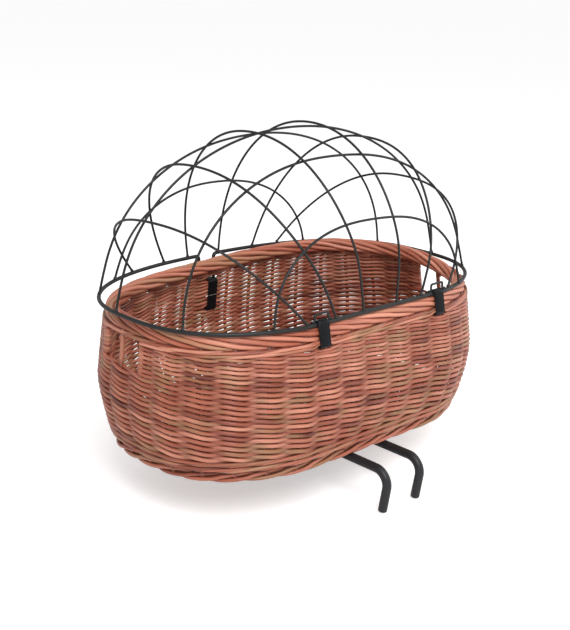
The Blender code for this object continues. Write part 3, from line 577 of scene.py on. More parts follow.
def round_wall(stake, outward):
    """As round_tub, for a distance outward that changes from point to point."""
    layers = [round_tub(stake, mark) for mark in OUT_MARKS]
    step = (outward - OUT_MARKS[0]) / (OUT_MARKS[1] - OUT_MARKS[0])
    low = np.clip(step.astype(int), 0, len(OUT_MARKS) - 2)
    share = (step - low)[:, None]
    index = np.arange(len(stake))
    tables = [np.array([layer[part] for layer in layers]) for part in range(3)]
    return [table[low, index] * (1 - share) + table[low + 1, index] * share for table in tables]


def row_height(row):
    """Height of a row of the weave. The rows close up towards the rim, where the rods are thinner."""
    willow = bpy.context.scene.basket_willow
    share = np.asarray(row, float) / willow.rows
    return WALL_BOTTOM + (WALL_TOP - WALL_BOTTOM) * share * (1 + willow.closing * (1 - share))


def wander(stake, height, stakes):
    """The small waves of hand-woven rows, which die away at the borders."""
    amount = bpy.context.scene.basket_willow.unevenness
    share = np.clip((height - WALL_BOTTOM) / (WALL_TOP - WALL_BOTTOM), 0, 1)
    fade = 4 * share * (1 - share)
    way = 2 * np.pi * np.asarray(stake) / stakes
    waves = (np.sin(3 * way + 9 * share) + 0.7 * np.sin(7 * way + 4 - 5 * share)
             + 0.4 * np.sin(16 * way + 14 * share))
    return amount * fade * waves


def make_room(points):
    """Rods pushed up or down where a strap passes through the wall."""
    slots = [(place, STRAP_WIDTH / 2, HINGE_SLOT, -1) for place in STRAP_PLACES]
    slots += [(0.0, CLOSURE_WIDTH / 2, height, 1) for height in (CLOSURE_TOP, CLOSURE_BOTTOM)]
    reach = 0.010
    room = STRAP_THICKNESS / 2 + 0.0017
    for place, half, height, side in slots:
        off = np.abs(points[:, 0] - place) - half
        window = (1 - smoothstep(off / 0.008)) * (points[:, 1] * side > 0)
        away = points[:, 2] - height
        close = np.abs(away) < reach
        moved = room * window + np.abs(away) * (1 - room * window / reach)
        points[:, 2] = np.where(close, height + np.where(away < 0, -1, 1) * moved, points[:, 2])
    return points


def rod_tones(seed, count):
    """Shades of a number of rods, most of them near the middle."""
    return np.random.default_rng(seed).beta(2.2, 2.2, count)


# Weaving

def wale_row(bundle, height, radius, lift, seed, arcs=None):
    """One row of three heavier rods that each pass in front of two stakes and behind one."""
    willow = bpy.context.scene.basket_willow
    strands = 3
    generator = np.random.default_rng(seed)
    for start, end in arcs or [(0, willow.stakes)]:
        closed = arcs is None
        steps = int((end - start) * STEPS_PER_STAKE)
        stake = start + (end - start) * np.arange(steps + (0 if closed else 1)) / steps
        place, along, out = round_tub(stake, float(wall_out(height)) - WALL_HALF)
        for strand in range(strands):
            phase = np.mod((stake - strand - seed) / strands, 1.0)
            near = strands * np.minimum(phase, 1 - phase)
            swing = -np.cos(np.pi * np.minimum(near, 1))
            rest = np.where(phase > 0.5, phase - 1, phase)
            rise = np.where(near >= 0.5, np.sin(np.pi * (phase - 0.5) * 1.5), -np.sin(np.pi * rest * 3))
            rods = 2 + generator.integers(0, 2)
            splits = np.sort(generator.uniform(start, end, rods))
            which = np.searchsorted(splits, stake) % rods
            tone = rod_tones(seed * 17 + strand, rods)[which]
            girth = radius * generator.uniform(0.9, 1.1, rods)[which]
            heights = height + lift * rise + wander(stake, height, willow.stakes)
            push = willow.swing * swing + (wall_out(heights) - float(wall_out(height)))
            line = np.column_stack([place + out * push[:, None], heights])
            # Painted shade, deepest where the rod passes behind a stake
            recess = 0.6 * (1 - swing * swing)
            if not closed:
                line, (recess, tone, girth) = wrapped_ends(line, along, out, swing, (recess, tone, girth),
                                                           (True, True), 1)
            tube(bundle, in_weave(make_room(line)), girth, closed=closed, reference=(0, 0, 1),
                 tone=tone, recess=recess)


def weave_wall(bundle, first, last):
    """The wall's rods, one from each stake: in front of a stake, behind the next, and so up a row."""
    willow = bpy.context.scene.basket_willow
    stakes = willow.stakes
    generator = np.random.default_rng(101)
    tones = rod_tones(102, stakes)
    step = 1 / STEPS_PER_STAKE
    offset = np.arange(1 - step, 1 - 2 * (last - first) - step / 2, -step)
    swing = np.tanh(0.8 * np.cos(np.pi * offset)) / math.tanh(0.8)
    rows = first + 0.5 - offset / 2
    taper = np.linspace(1.0, willow.tip_share, len(offset))
    for rod in range(stakes):
        stake = rod + offset
        heights = row_height(rows) - 0.0005 * np.sin(2 * np.pi * offset)
        heights = heights + wander(stake, heights, stakes)
        gone = np.zeros(len(stake), bool)
        for grip in (0, STAKES_BACK):
            away = np.mod(stake - grip + stakes / 2, stakes) - stakes / 2
            high = row_height(rows + away / 2) > GRIP_BOTTOM
            gone |= high & (np.abs(away) < 1 - step / 2)
            ceiling = GRIP_BOTTOM - 0.0018 + 0.006 * smoothstep((np.abs(away) - 0.8) / 0.5)
            heights = np.where(~high & (np.abs(away) < 1.3), np.minimum(heights, ceiling), heights)
        place, along, out = round_wall(stake, wall_out(heights) - WALL_HALF)
        line = make_room(np.column_stack([place + out * (willow.swing * swing)[:, None], heights]))
        # Painted shade, deepest where the rod passes behind a stake; it reaches the tube as dark
        recess = 0.4 * (1 - swing * swing)
        radius = willow.rod_radius * generator.uniform(0.93, 1.07) * taper
        shades = rod_tones(500 + rod, 24)
        tone = 0.6 * tones[rod] + 0.8 * np.interp(-offset, 2.2 * np.arange(24) - 1, shades) - 0.2
        breaks = np.flatnonzero(np.diff(gone.astype(int))) + 1
        for run in np.split(np.arange(len(stake)), breaks):
            if gone[run[0]] or len(run) < STEPS_PER_STAKE:
                continue
            ends = (run[0] > 0, run[-1] < len(stake) - 1)
            path, (dark, shade, girth) = wrapped_ends(line[run], along[run], out[run], swing[run],
                                                      (recess[run], tone[run], radius[run]), ends, -1)
            tube(bundle, in_weave(path), girth, reference=(0, 0, 1), tone=shade, recess=dark)


def wrapped_ends(line, along, out, swing, values, ends, way):
    """A rod's ends at a grip hole bent round the stake beside it. Way is -1 against the stakes' count."""
    turns = np.pi * np.arange(1, 9) / 8
    pieces = [np.zeros((0, 3)), np.zeros((0, 3))]
    for end, index, sign in ((0, 0, -way), (1, -1, way)):
        if not ends[end]:
            continue
        outward = np.append(out[index], 0)
        onward = np.append(along[index], 0) * sign
        front = math.copysign(1.0, swing[index])
        reach = bpy.context.scene.basket_willow.swing * abs(swing[index])
        centre = line[index] - outward * (front * reach)
        arc = (centre + outward * (front * reach * np.cos(turns))[:, None]
               + onward * (reach * np.sin(turns))[:, None])
        pieces[end] = np.vstack([arc, arc[-1] - onward * np.array([[0.0025], [0.005]])])
    head, foot = pieces[0][::-1], pieces[1]
    padded = [np.concatenate([np.full(len(head), value[0]), value, np.full(len(foot), value[-1])])
              for value in values]
    return np.vstack([head, line, foot]), padded


def grip_arcs():
    """The two stretches of wall between the grip holes, counted in stakes."""
    stakes = bpy.context.scene.basket_willow.stakes
    return [(1, STAKES_BACK - 1), (STAKES_BACK + 1, stakes - 1)]


def border_section(turn, half_width, half_height, power=2.4):
    """Out and up offsets round a border's rounded section."""
    cosine, sine = np.cos(turn), np.sin(turn)
    return (half_width * np.sign(cosine) * np.abs(cosine) ** (2 / power),
            half_height * np.sign(sine) * np.abs(sine) ** (2 / power))


# Finishes

def add_node(tree, kind, inputs=None, **settings):
    """A shader node with its settings, and its inputs given as values or as sockets to link."""
    made = tree.nodes.new(kind)
    for name, value in settings.items():
        setattr(made, name, value)
    for name, value in (inputs or {}).items():
        if isinstance(value, bpy.types.NodeSocket):
            tree.links.new(value, made.inputs[name])
        else:
            made.inputs[name].default_value = value
    return made


def read_value(tree, name):
    """A value that the mesh carries at its points."""
    return add_node(tree, "ShaderNodeAttribute", attribute_name=name).outputs["Fac"]


def calculate(tree, operation, *values, clamp=False):
    """A Math node's result."""
    made = tree.nodes.new("ShaderNodeMath")
    made.operation = operation
    made.use_clamp = clamp
    for socket, value in zip(made.inputs, values):
        if isinstance(value, bpy.types.NodeSocket):
            tree.links.new(value, socket)
        else:
            socket.default_value = value
    return made.outputs[0]


def blend_colours(tree, share, first, second, mode="MIX"):
    """A Mix node's colour."""
    made = tree.nodes.new("ShaderNodeMix")
    made.data_type = "RGBA"
    made.blend_type = mode
    made.clamp_factor = True
    for name, value in (("Factor", share), ("A", first), ("B", second)):
        socket = next(s for s in made.inputs if s.name == name and s.enabled)
        if isinstance(value, bpy.types.NodeSocket):
            tree.links.new(value, socket)
        else:
            socket.default_value = value
    return next(s for s in made.outputs if s.enabled)


def remap(tree, value, low, high, to_low=0.0, to_high=1.0):
    """A value spread from one span to another, and held inside it."""
    made = add_node(tree, "ShaderNodeMapRange", {
        "Value": value, "From Min": low, "From Max": high, "To Min": to_low, "To Max": to_high})
    return made.outputs["Result"]


def new_group(name, inputs, outputs):
    """A shader node group with named sockets, and its input and output nodes."""
    tree = bpy.data.node_groups.new(name, "ShaderNodeTree")
    for label, kind, default in inputs:
        socket = tree.interface.new_socket(label, in_out="INPUT", socket_type=kind)
        socket.default_value = default
    for label, kind in outputs:
        tree.interface.new_socket(label, in_out="OUTPUT", socket_type=kind)
    return tree, tree.nodes.new("NodeGroupInput").outputs, tree.nodes.new("NodeGroupOutput").inputs


SURFACE_OUTPUTS = (
    ("Color", "NodeSocketColor"), ("Roughness", "NodeSocketFloat"), ("Height", "NodeSocketFloat"))


def finish_group(tree, sockets, colour, roughness, height):
    """Wire a group's three results."""
    tree.links.new(colour, sockets["Color"])
    tree.links.new(roughness, sockets["Roughness"])
    tree.links.new(height, sockets["Height"])
    return tree


def willow_group():
    """Stained willow rod: shade by rod, long streaks, knots, painted shade in the recesses and pale cut ends."""
    tree, given, result = new_group("Stained willow rod", (
        ("Light", "NodeSocketColor", (0.6, 0.25, 0.13, 1)),
        ("Middle", "NodeSocketColor", (0.45, 0.14, 0.07, 1)),
        ("Dark", "NodeSocketColor", (0.23, 0.06, 0.03, 1)),
        ("Olive", "NodeSocketColor", (0.4, 0.19, 0.075, 1)),
        ("Pith", "NodeSocketColor", (0.6, 0.38, 0.22, 1)),
        ("Streaks", "NodeSocketFloat", 0.5),
        ("Painted Shade", "NodeSocketFloat", 0.5)), SURFACE_OUTPUTS)
    tone = read_value(tree, "tone")
    along = read_value(tree, "along")
    around = read_value(tree, "around")
    circle_x = calculate(tree, "COSINE", calculate(tree, "MULTIPLY", around, 2 * math.pi))
    circle_y = calculate(tree, "SINE", calculate(tree, "MULTIPLY", around, 2 * math.pi))
    rod_place = add_node(tree, "ShaderNodeCombineXYZ", {
        "X": calculate(tree, "MULTIPLY", along, 16.0),
        "Y": calculate(tree, "MULTIPLY", circle_x, 1.3),
        "Z": calculate(tree, "MULTIPLY_ADD", tone, 3.0, circle_y)}).outputs[0]
    streak = add_node(tree, "ShaderNodeTexNoise", {
        "Vector": rod_place, "Scale": 2.6, "Detail": 5.0, "Roughness": 0.62}).outputs["Fac"]
    fine_place = add_node(tree, "ShaderNodeCombineXYZ", {
        "X": calculate(tree, "MULTIPLY", along, 60.0),
        "Y": calculate(tree, "MULTIPLY", circle_x, 9.0),
        "Z": calculate(tree, "MULTIPLY", circle_y, 9.0)}).outputs[0]
    fibre = add_node(tree, "ShaderNodeTexNoise", {
        "Vector": fine_place, "Scale": 1.0, "Detail": 3.0, "Roughness": 0.6}).outputs["Fac"]
    patch = add_node(tree, "ShaderNodeTexNoise", {
        "Vector": add_node(tree, "ShaderNodeTexCoord").outputs["Object"],
        "Scale": 9.0, "Detail": 3.0}).outputs["Fac"]
    shade = calculate(tree, "ADD", calculate(tree, "MULTIPLY", tone, 1.0),
                      calculate(tree, "MULTIPLY", given["Streaks"], calculate(tree, "SUBTRACT", streak, 0.5)))
    shade = calculate(tree, "ADD", shade, calculate(tree, "MULTIPLY", calculate(tree, "SUBTRACT", patch, 0.5), 0.7))
    low = blend_colours(tree, remap(tree, shade, 0.02, 0.42), given["Dark"], given["Middle"])
    colour = blend_colours(tree, remap(tree, shade, 0.42, 0.95), low, given["Light"])
    kind = remap(tree, calculate(tree, "SINE", calculate(tree, "MULTIPLY", tone, 21.0)), -1.0, 1.0)
    less = calculate(tree, "ADD", kind, calculate(tree, "MULTIPLY", calculate(tree, "SUBTRACT", patch, 0.5), 1.4))
    colour = blend_colours(tree, remap(tree, less, 0.70, 1.12, 0.0, 0.75), colour, given["Olive"])
    knots = add_node(tree, "ShaderNodeTexVoronoi", {
        "Vector": rod_place, "Scale": 0.35, "Randomness": 1.0}).outputs["Distance"]
    knot = remap(tree, knots, 0.10, 0.03)
    colour = blend_colours(tree, calculate(tree, "MULTIPLY", knot, 0.65), colour, given["Dark"])
    # Painted shade: rods darkened towards the dark colour where they dip behind a stake or into a border
    recess = calculate(tree, "MULTIPLY", read_value(tree, "recess"), given["Painted Shade"])
    colour = blend_colours(tree, recess, colour, given["Dark"])
    colour = blend_colours(tree, read_value(tree, "cut"), colour, given["Pith"])
    rough = remap(tree, streak, 0.3, 0.7, 0.40, 0.58)
    height = calculate(tree, "ADD", calculate(tree, "MULTIPLY", fibre, 0.6), calculate(tree, "MULTIPLY", streak, 0.5))
    height = calculate(tree, "SUBTRACT", height, calculate(tree, "MULTIPLY", knot, 0.5))
    return finish_group(tree, result, colour, rough, height)


def coating_group():
    """Plastic coating: faint orange peel, dust that dulls it and rubbed patches."""
    tree, given, result = new_group("Plastic coating", (
        ("Base", "NodeSocketColor", (0.012, 0.013, 0.013, 1)),
        ("Rubbed", "NodeSocketColor", (0.05, 0.05, 0.05, 1)),
        ("Wear", "NodeSocketFloat", 0.5)), SURFACE_OUTPUTS)
    spot = add_node(tree, "ShaderNodeTexCoord").outputs["Object"]
    peel = add_node(tree, "ShaderNodeTexNoise", {"Vector": spot, "Scale": 900.0, "Detail": 2.0}).outputs["Fac"]
    dust = add_node(tree, "ShaderNodeTexNoise", {"Vector": spot, "Scale": 60.0, "Detail": 5.0}).outputs["Fac"]
    worn = calculate(tree, "MULTIPLY", remap(tree, dust, 0.5, 0.72), given["Wear"])
    colour = blend_colours(tree, worn, given["Base"], given["Rubbed"])
    rough = remap(tree, dust, 0.3, 0.7, 0.36, 0.55)
    return finish_group(tree, result, colour, rough, peel)


def leather_group():
    """Black strap leather: pebbled grain, a painted highlight where it bends, and edges paler from wear."""
    tree, given, result = new_group("Strap leather", (
        ("Base", "NodeSocketColor", (0.012, 0.012, 0.013, 1)),
        ("Worn And Highlight", "NodeSocketColor", (0.09, 0.085, 0.08, 1)),
        ("Half Width", "NodeSocketFloat", 0.008)), SURFACE_OUTPUTS)
    spot = add_node(tree, "ShaderNodeTexCoord").outputs["Object"]
    cells = add_node(tree, "ShaderNodeTexVoronoi", {"Vector": spot, "Scale": 1500.0}).outputs["Distance"]
    grain = add_node(tree, "ShaderNodeTexNoise", {"Vector": spot, "Scale": 420.0, "Detail": 4.0}).outputs["Fac"]
    creases = add_node(tree, "ShaderNodeTexNoise", {"Vector": spot, "Scale": 90.0, "Detail": 6.0}).outputs["Fac"]
    edge = calculate(tree, "DIVIDE", calculate(tree, "ABSOLUTE", read_value(tree, "around")), given["Half Width"])
    edge = remap(tree, edge, 0.9, 1.0)
    # Painted highlight along the strap's bends, broken up by creases; the paler edges are wear
    bend_highlight = calculate(tree, "MULTIPLY", read_value(tree, "recess"), remap(tree, creases, 0.42, 0.6))
    worn = calculate(tree, "MAXIMUM", calculate(tree, "MULTIPLY", edge, remap(tree, creases, 0.4, 0.65)), bend_highlight)
    colour = blend_colours(tree, calculate(tree, "MULTIPLY", worn, 0.7), given["Base"], given["Worn And Highlight"])
    rough = remap(tree, grain, 0.3, 0.7, 0.42, 0.62)
    height = calculate(tree, "ADD", cells, calculate(tree, "MULTIPLY", grain, 0.8))
    return finish_group(tree, result, colour, rough, height)


def plating_group():
    """Zinc plating: cloudy bright steel with fine scratches."""
    tree, given, result = new_group("Zinc plating", (
        ("Base", "NodeSocketColor", (0.56, 0.56, 0.54, 1)),
        ("Dull", "NodeSocketColor", (0.30, 0.30, 0.29, 1))), SURFACE_OUTPUTS)
    spot = add_node(tree, "ShaderNodeTexCoord").outputs["Object"]
    cloud = add_node(tree, "ShaderNodeTexNoise", {"Vector": spot, "Scale": 260.0, "Detail": 5.0}).outputs["Fac"]
    scratch = add_node(tree, "ShaderNodeTexNoise", {
        "Vector": add_node(tree, "ShaderNodeMapping", {"Vector": spot, "Scale": (1.0, 1.0, 14.0)}).outputs[0],
        "Scale": 300.0, "Detail": 3.0}).outputs["Fac"]
    colour = blend_colours(tree, remap(tree, cloud, 0.35, 0.7), given["Base"], given["Dull"])
    rough = remap(tree, cloud, 0.3, 0.7, 0.24, 0.46)
    return finish_group(tree, result, colour, rough, scratch)


def group_named(name, maker):
    """A node group by its name, made the first time it is asked for."""
    return bpy.data.node_groups.get(name) or maker()


def new_finish(name, group, values, bump, metallic=0.0, coat=0.0, specular=0.5, spread=0.0002):
    """A material whose surface comes from a node group."""
    material = bpy.data.materials.get(name)
    if material:
        return material
    material = bpy.data.materials.new(name)
    material.use_nodes = True
    tree = material.node_tree
    shader = tree.nodes["Principled BSDF"]
    surface = tree.nodes.new("ShaderNodeGroup")
    surface.node_tree = group
    for label, value in values.items():
        surface.inputs[label].default_value = (*value, 1) if hasattr(value, "__len__") else value
    bumped = add_node(tree, "ShaderNodeBump", {"Strength": bump, "Distance": spread, "Height": surface.outputs["Height"]})
    tree.links.new(surface.outputs["Color"], shader.inputs["Base Color"])
    tree.links.new(surface.outputs["Roughness"], shader.inputs["Roughness"])
    tree.links.new(bumped.outputs["Normal"], shader.inputs["Normal"])
    shader.inputs["Metallic"].default_value = metallic
    shader.inputs["Coat Weight"].default_value = coat
    shader.inputs["Coat Roughness"].default_value = 0.34
    shader.inputs["Specular IOR Level"].default_value = specular
    return material


def willow_finish(name="willow_rods", streaks=0.6, recess=0.7, lighten=1.0):
    """The stained willow, a little lighter or darker by piece."""
    willow = bpy.context.scene.basket_willow
    # Besides the colours, the group gets the streaks and the strength of the painted shade in the recesses
    values = {"Light": [c * lighten for c in willow.light], "Middle": [c * lighten for c in willow.middle],
              "Dark": [c * lighten for c in willow.dark], "Olive": [c * lighten for c in willow.olive],
              "Pith": list(willow.pith),
              "Streaks": streaks, "Painted Shade": recess}
    return new_finish(name, group_named("Stained willow rod", willow_group), values, 0.35, specular=0.5, coat=0.3)


def coated_finish(name="coated_wire", wear=0.35):
    """The black coating of wire and rods."""
    base = list(bpy.context.scene.basket_metal.coating)
    values = {"Base": base, "Rubbed": [c * 3.2 for c in base], "Wear": wear}
    return new_finish(name, group_named("Plastic coating", coating_group), values, 0.06, specular=0.08, spread=0.00006)


def leather_finish(half_width):
    """The straps' leather, for straps of one width."""
    base = list(bpy.context.scene.basket_straps.leather)
    # The paler colour serves the worn edges and the painted highlight at bends
    values = {"Base": base, "Worn And Highlight": [c * 6.0 for c in base], "Half Width": half_width}
    name = f"strap_leather_{round(half_width * 20000)}"
    return new_finish(name, group_named("Strap leather", leather_group), values, 0.5, specular=0.15, spread=0.00012)


def zinc_finish():
    """The plated steel of buckle, bolts and strips."""
    base = list(bpy.context.scene.basket_metal.zinc)
    values = {"Base": base, "Dull": [c * 0.55 for c in base]}
    return new_finish("zinc_steel", group_named("Zinc plating", plating_group), values, 0.1, metallic=1.0,
                      spread=0.00005)


# Operators

class BASKET_OT_stakes(Operator):
    """Stand the upright stakes, from the foot through the wall into the rim border"""

    bl_idname = "basket.stakes"
    bl_label = "Stakes"

    def execute(self, context):
        willow = context.scene.basket_willow
        heights = np.concatenate([np.linspace(0.004, WALL_TOP, 22), WALL_TOP + np.array((0.004, 0.008))])
        bundle = Bundle()
        tones = rod_tones(5, willow.stakes)
        for stake in range(willow.stakes):
            outs = wall_out(heights) - WALL_HALF
            outs = np.where(heights > WALL_TOP, outs - 0.0035 * smoothstep((heights - WALL_TOP) / 0.008), outs)
            places = [round_tub(np.array([stake]), out) for out in outs]
            line = np.array([[*place[0][0], height] for place, height in zip(places, heights)])
            out_way = np.array([[*place[2][0], 0.0] for place in places])
            bare = stake in (0, STAKES_BACK)
            open_part = smoothstep((heights - GRIP_BOTTOM + 0.002) / 0.006) if bare else np.zeros(len(heights))
            flat = 0.6 + 0.36 * open_part
            # Painted shade darkens the stakes inside the weave; the bare stakes at the grip holes get almost none
            tube(bundle, in_weave(line), willow.stake_radius * (1 + 0.05 * open_part), sides=10,
                 reference=out_way, flatten=flat, tone=0.35 + 0.4 * tones[stake], recess=1.2 - 1.15 * open_part)
        item = bundle.build("wall_stakes", willow_finish())
        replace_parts(item, "grip_stake_left", "grip_stake_right")
        return {"FINISHED"}


class BASKET_OT_wall(Operator):
    """Weave the wall: rows of three heavy rods at foot and rim, and one rod from each stake between"""

    bl_idname = "basket.wall"
    bl_label = "Wall"

    def execute(self, context):
        willow = context.scene.basket_willow
        foot, wall, rim = Bundle(), Bundle(), Bundle()
        for row in range(2):
            wale_row(foot, float(row_height(row + 0.5)), willow.wale_radius, 0.0019, 11 + row)
        weave_wall(wall, 2, willow.rows - 1)
        wale_row(rim, float(row_height(willow.rows - 0.5)), willow.wale_radius * 0.92, 0.0007, 401, grip_arcs())
        wale_row(rim, WALL_TOP + 0.0014, willow.wale_radius * 0.92, 0.0007, 402)
        finish = willow_finish()
        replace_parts(wall.build("wall_rods", finish), "woven_wall")
        foot.build("wall_wale_foot", finish)
        rim.build("wall_wale_rim", finish)
        return {"FINISHED"}


class BASKET_OT_rim(Operator):
    """Lay the rim border: each stake turned down into a rope of rods round the rim"""

    bl_idname = "basket.rim"
    bl_label = "Rim border"

    def execute(self, context):
        willow = context.scene.basket_willow
        radius = willow.border_radius
        half_width = BORDER_HALF_WIDTH - radius
        half_height = BORDER_HEIGHT / 2 - radius
        generator = np.random.default_rng(71)
        bundle = Bundle()
        inside, outside = 2.4, 4.1
        for stake in range(willow.stakes):
            way = np.linspace(0, inside + outside, 74)
            climb = np.interp(way, [0, 1.2, inside + outside], [-105, -160, -452])
            turn = np.radians(climb + generator.uniform(-5, 5))
            across, up = border_section(turn, half_width, half_height)
            tuck = smoothstep((way - inside - outside + 0.35) / 0.35)
            across, up = across * (1 - 0.45 * tuck), up * (1 - 0.3 * tuck)
            girth = radius * generator.uniform(0.92, 1.06) * (1 - 0.18 * way / way[-1])
            place, along, out = round_tub(stake + way, BORDER_MIDDLE_OUT)
            line = np.column_stack([place + out * across[:, None], BORDER_MIDDLE + up])
            roots = []
            for back, height in ((-0.10, WALL_TOP - 0.008), (-0.07, WALL_TOP - 0.003)):
                spot = round_tub(np.array([stake + back]), float(wall_out(height)) - WALL_HALF)[0][0]
                roots.append([*spot, height])
            line = np.vstack([roots, line[4:]])
            fine = fine_line(line, step=0.0045)
            share = np.linspace(0, 1, len(fine))
            girths = np.interp(share, np.linspace(0, 1, len(girth)), girth)
            girths *= 0.66 + 0.34 * smoothstep(share / 0.12)
            tone = 0.25 + 0.75 * rod_tones(900 + stake, 1)[0]
            # Painted shade where the rod comes out of the wall
            recess = 0.35 * (1 - smoothstep(share / 0.06))
            tube(bundle, in_weave(fine), girths, sides=12, tone=tone, recess=recess)
        # The border's willow: painted shade at 0.6 strength and colours a tenth paler
        item = bundle.build("rim_border_rods", willow_finish("willow_border", 0.6, 0.6, 1.1))
        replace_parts(item, "rim_border")
        core = Bundle()
        low = 0.0015 - BORDER_HEIGHT / 2
        for across, up, girth in ((0.0, 0.0032, 0.0034), (0.0, -0.0032, 0.0034), (-0.003, 0.0, 0.0034),
                                  (0.003, 0.0, 0.0034), (0.0068, low, 0.0019), (0.0035, low, 0.0019)):
            stake = np.linspace(0, willow.stakes, 360, endpoint=False)
            place, along, out = round_tub(stake, BORDER_MIDDLE_OUT)
            line = np.column_stack([place + out * across, np.full(len(stake), BORDER_MIDDLE + up)])
            # The core rods inside the rope carry heavy painted shade
            tube(core, in_weave(line), girth, sides=8, closed=True, reference=(0, 0, 1), tone=0.2, recess=0.9)
        core.build("rim_border_core", willow_finish())
        return {"FINISHED"}


class BASKET_OT_foot(Operator):
    """Lay the foot border: short rods rolled round the foot, partly open"""

    bl_idname = "basket.foot"
    bl_label = "Foot border"

    def execute(self, context):
        willow = context.scene.basket_willow
        radius = willow.foot_radius
        half = FOOT_HALF - radius
        generator = np.random.default_rng(73)
        bundle = Bundle()
        for stake in range(willow.stakes):
            way = np.linspace(0, 3.6, 46)
            turn = np.radians(np.interp(way, [0, 1.3, 3.6], [165, 262, 452]) + generator.uniform(-6, 6))
            across, up = border_section(turn, half, half, 2.6)
            tuck = smoothstep((way - 3.3) / 0.3)
            across, up = across * (1 - 0.5 * tuck), up * (1 - 0.4 * tuck)
            place, along, out = round_tub(stake + way, FOOT_MIDDLE_OUT)
            line = np.column_stack([place + out * across[:, None], FOOT_HALF + up])
            roots = []
            for back, height in ((-0.12, 0.024), (-0.08, 0.0175)):
                spot = round_tub(np.array([stake + back]), float(wall_out(height)) - WALL_HALF)[0][0]
                roots.append([*spot, height])
            fine = fine_line(np.vstack([roots, line[1:]]), step=0.004)
            share = np.linspace(0, 1, len(fine))
            girth = radius * generator.uniform(0.92, 1.08) * (1 - 0.2 * share)
            # Painted shade where the rod comes out of the wall
            tube(bundle, in_tub(fine), girth, sides=10, tone=rod_tones(1200 + stake, 1)[0] * 0.9,
                 recess=0.5 * (1 - smoothstep(share / 0.1)))
        for across, up, girth in ((-0.001, 0.0015, 0.0031), (-0.001, -0.0022, 0.0028)):
            stake = np.linspace(0, willow.stakes, 320, endpoint=False)
            place, along, out = round_tub(stake, FOOT_MIDDLE_OUT)
            line = np.column_stack([place + out * across, np.full(len(stake), FOOT_HALF + up)])
            # The core rods inside the roll carry heavy painted shade
            tube(bundle, in_tub(line), girth, sides=8, closed=True, reference=(0, 0, 1), tone=0.1, recess=0.9)
        item = bundle.build("foot_border_rods", willow_finish())
        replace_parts(item, "foot_border")
        return {"FINISHED"}


class BASKET_OT_base(Operator):
    """Weave the base: sticks that fan out from a long middle, with paired rods round them"""

    bl_idname = "basket.base"
    bl_label = "Base"

    def execute(self, context):
        sticks = 20
        pitch = 0.0052
        outs = np.arange(BASE_OUT - 0.0022, -0.1500, -pitch)
        bundle = Bundle()

        def place_at(share, outward):
            whole = plan_loop(outward)[2]
            return at_distance(np.asarray(share) * whole, outward)

        tones = rod_tones(31, 200)
        for row, outward in enumerate(outs):
            stick = np.arange(0, sticks, 1 / 10)
            place, along, out = place_at(stick / sticks, outward)
            for strand in range(2):
                swing = np.tanh(1.5 * np.cos(np.pi * (stick - strand))) / math.tanh(1.5)
                shift = pitch / 4 * np.sin(np.pi * (stick - strand))
                line = np.column_stack([place + out * shift[:, None], BASE_MIDDLE + 0.0027 * swing])
                # Painted shade on the parts of each rod that pass behind a stick
                tube(bundle, in_tub(line), 0.0019, sides=6, closed=True, reference=(0, 0, 1),
                     tone=tones[row * 2 + strand], recess=0.3 - 0.25 * swing)
        for stick in range(sticks):
            line = np.array([[*place_at([stick / sticks], outward)[0][0], BASE_MIDDLE]
                             for outward in np.append(outs[::3], -0.151)])
            # The sticks carry an even painted shade
            tube(bundle, in_tub(line), 0.0028, sides=8, reference=(0, 0, 1), flatten=0.55, tone=0.3, recess=0.5)
        for row, y in enumerate((-0.0085, -0.0028, 0.0028, 0.0085)):
            line = np.array([[x, y, BASE_MIDDLE] for x in np.linspace(-0.098, 0.098, 12)])
            # The middle rods carry a light even painted shade
            tube(bundle, in_tub(line), 0.003, sides=8, reference=(0, 0, 1), tone=tones[row + 60], recess=0.2)
        item = bundle.build("base_weave", willow_finish())
        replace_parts(item, "woven_base")
        return {"FINISHED"}


def node_line(name, sides):
    """The middle line of a wire of the frame, from one of its ends to the other."""
    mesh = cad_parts[name].data
    places = {}
    joined = []
    for vertex in mesh.vertices:
        joined.append(places.setdefault(tuple(round(c, 6) for c in vertex.co), len(places)))
    spots = np.array(list(places))
    beside = [set() for _ in spots]
    for edge in mesh.edges:
        a, b = (joined[index] for index in edge.vertices)
        beside[a].add(b)
        beside[b].add(a)

    def layers(start):
        seen = set(start)
        front = set(start)
        found = []
        while front:
            found.append(sorted(front))
            front = {other for index in front for other in beside[index]} - seen
            seen |= front
        return found

    far = layers([0])[-1][0]
    nearest = np.argsort(np.linalg.norm(spots - spots[far], axis=1))[:sides]
    rings = layers([int(index) for index in nearest])
    return np.array([spots[ring].mean(0) for ring in rings if len(ring) == sides])


def ring_line():
    """The cage ring's middle line, with its dip at the back, in the world."""
    corner = DIP_HALF_WIDTH + 2 * DIP_CORNER
    points, travelled, whole = plan_loop(0.0)
    away = points[:-1][(points[:-1, 1] < 0) | (np.abs(points[:-1, 0]) > corner)]
    start = max(range(len(away)), key=lambda k: travelled_gap(away, k))
    loop = np.vstack([away[start + 1:], away[:start + 1]])
    back = float(np.interp(-corner, -points[:LOOP_STEPS // 4, 0], points[:LOOP_STEPS // 4, 1]))
    dip = filleted([
        (corner, back, 0), (DIP_HALF_WIDTH, HALF_DEPTH, 0), (DIP_HALF_WIDTH, HALF_DEPTH, -DIP_DEPTH),
        (-DIP_HALF_WIDTH, HALF_DEPTH, -DIP_DEPTH), (-DIP_HALF_WIDTH, HALF_DEPTH, 0), (-corner, back, 0),
    ], DIP_CORNER)
    loop = np.column_stack([loop, np.zeros(len(loop))])[::4]
    path = np.vstack([loop, dip]) + (0, RING_SHIFT_BACK, RING_HEIGHT)
    return in_tub(path)


def travelled_gap(points, index):
    """Distance from a point of a closed list to the next one."""
    return float(np.linalg.norm(points[(index + 1) % len(points)] - points[index]))


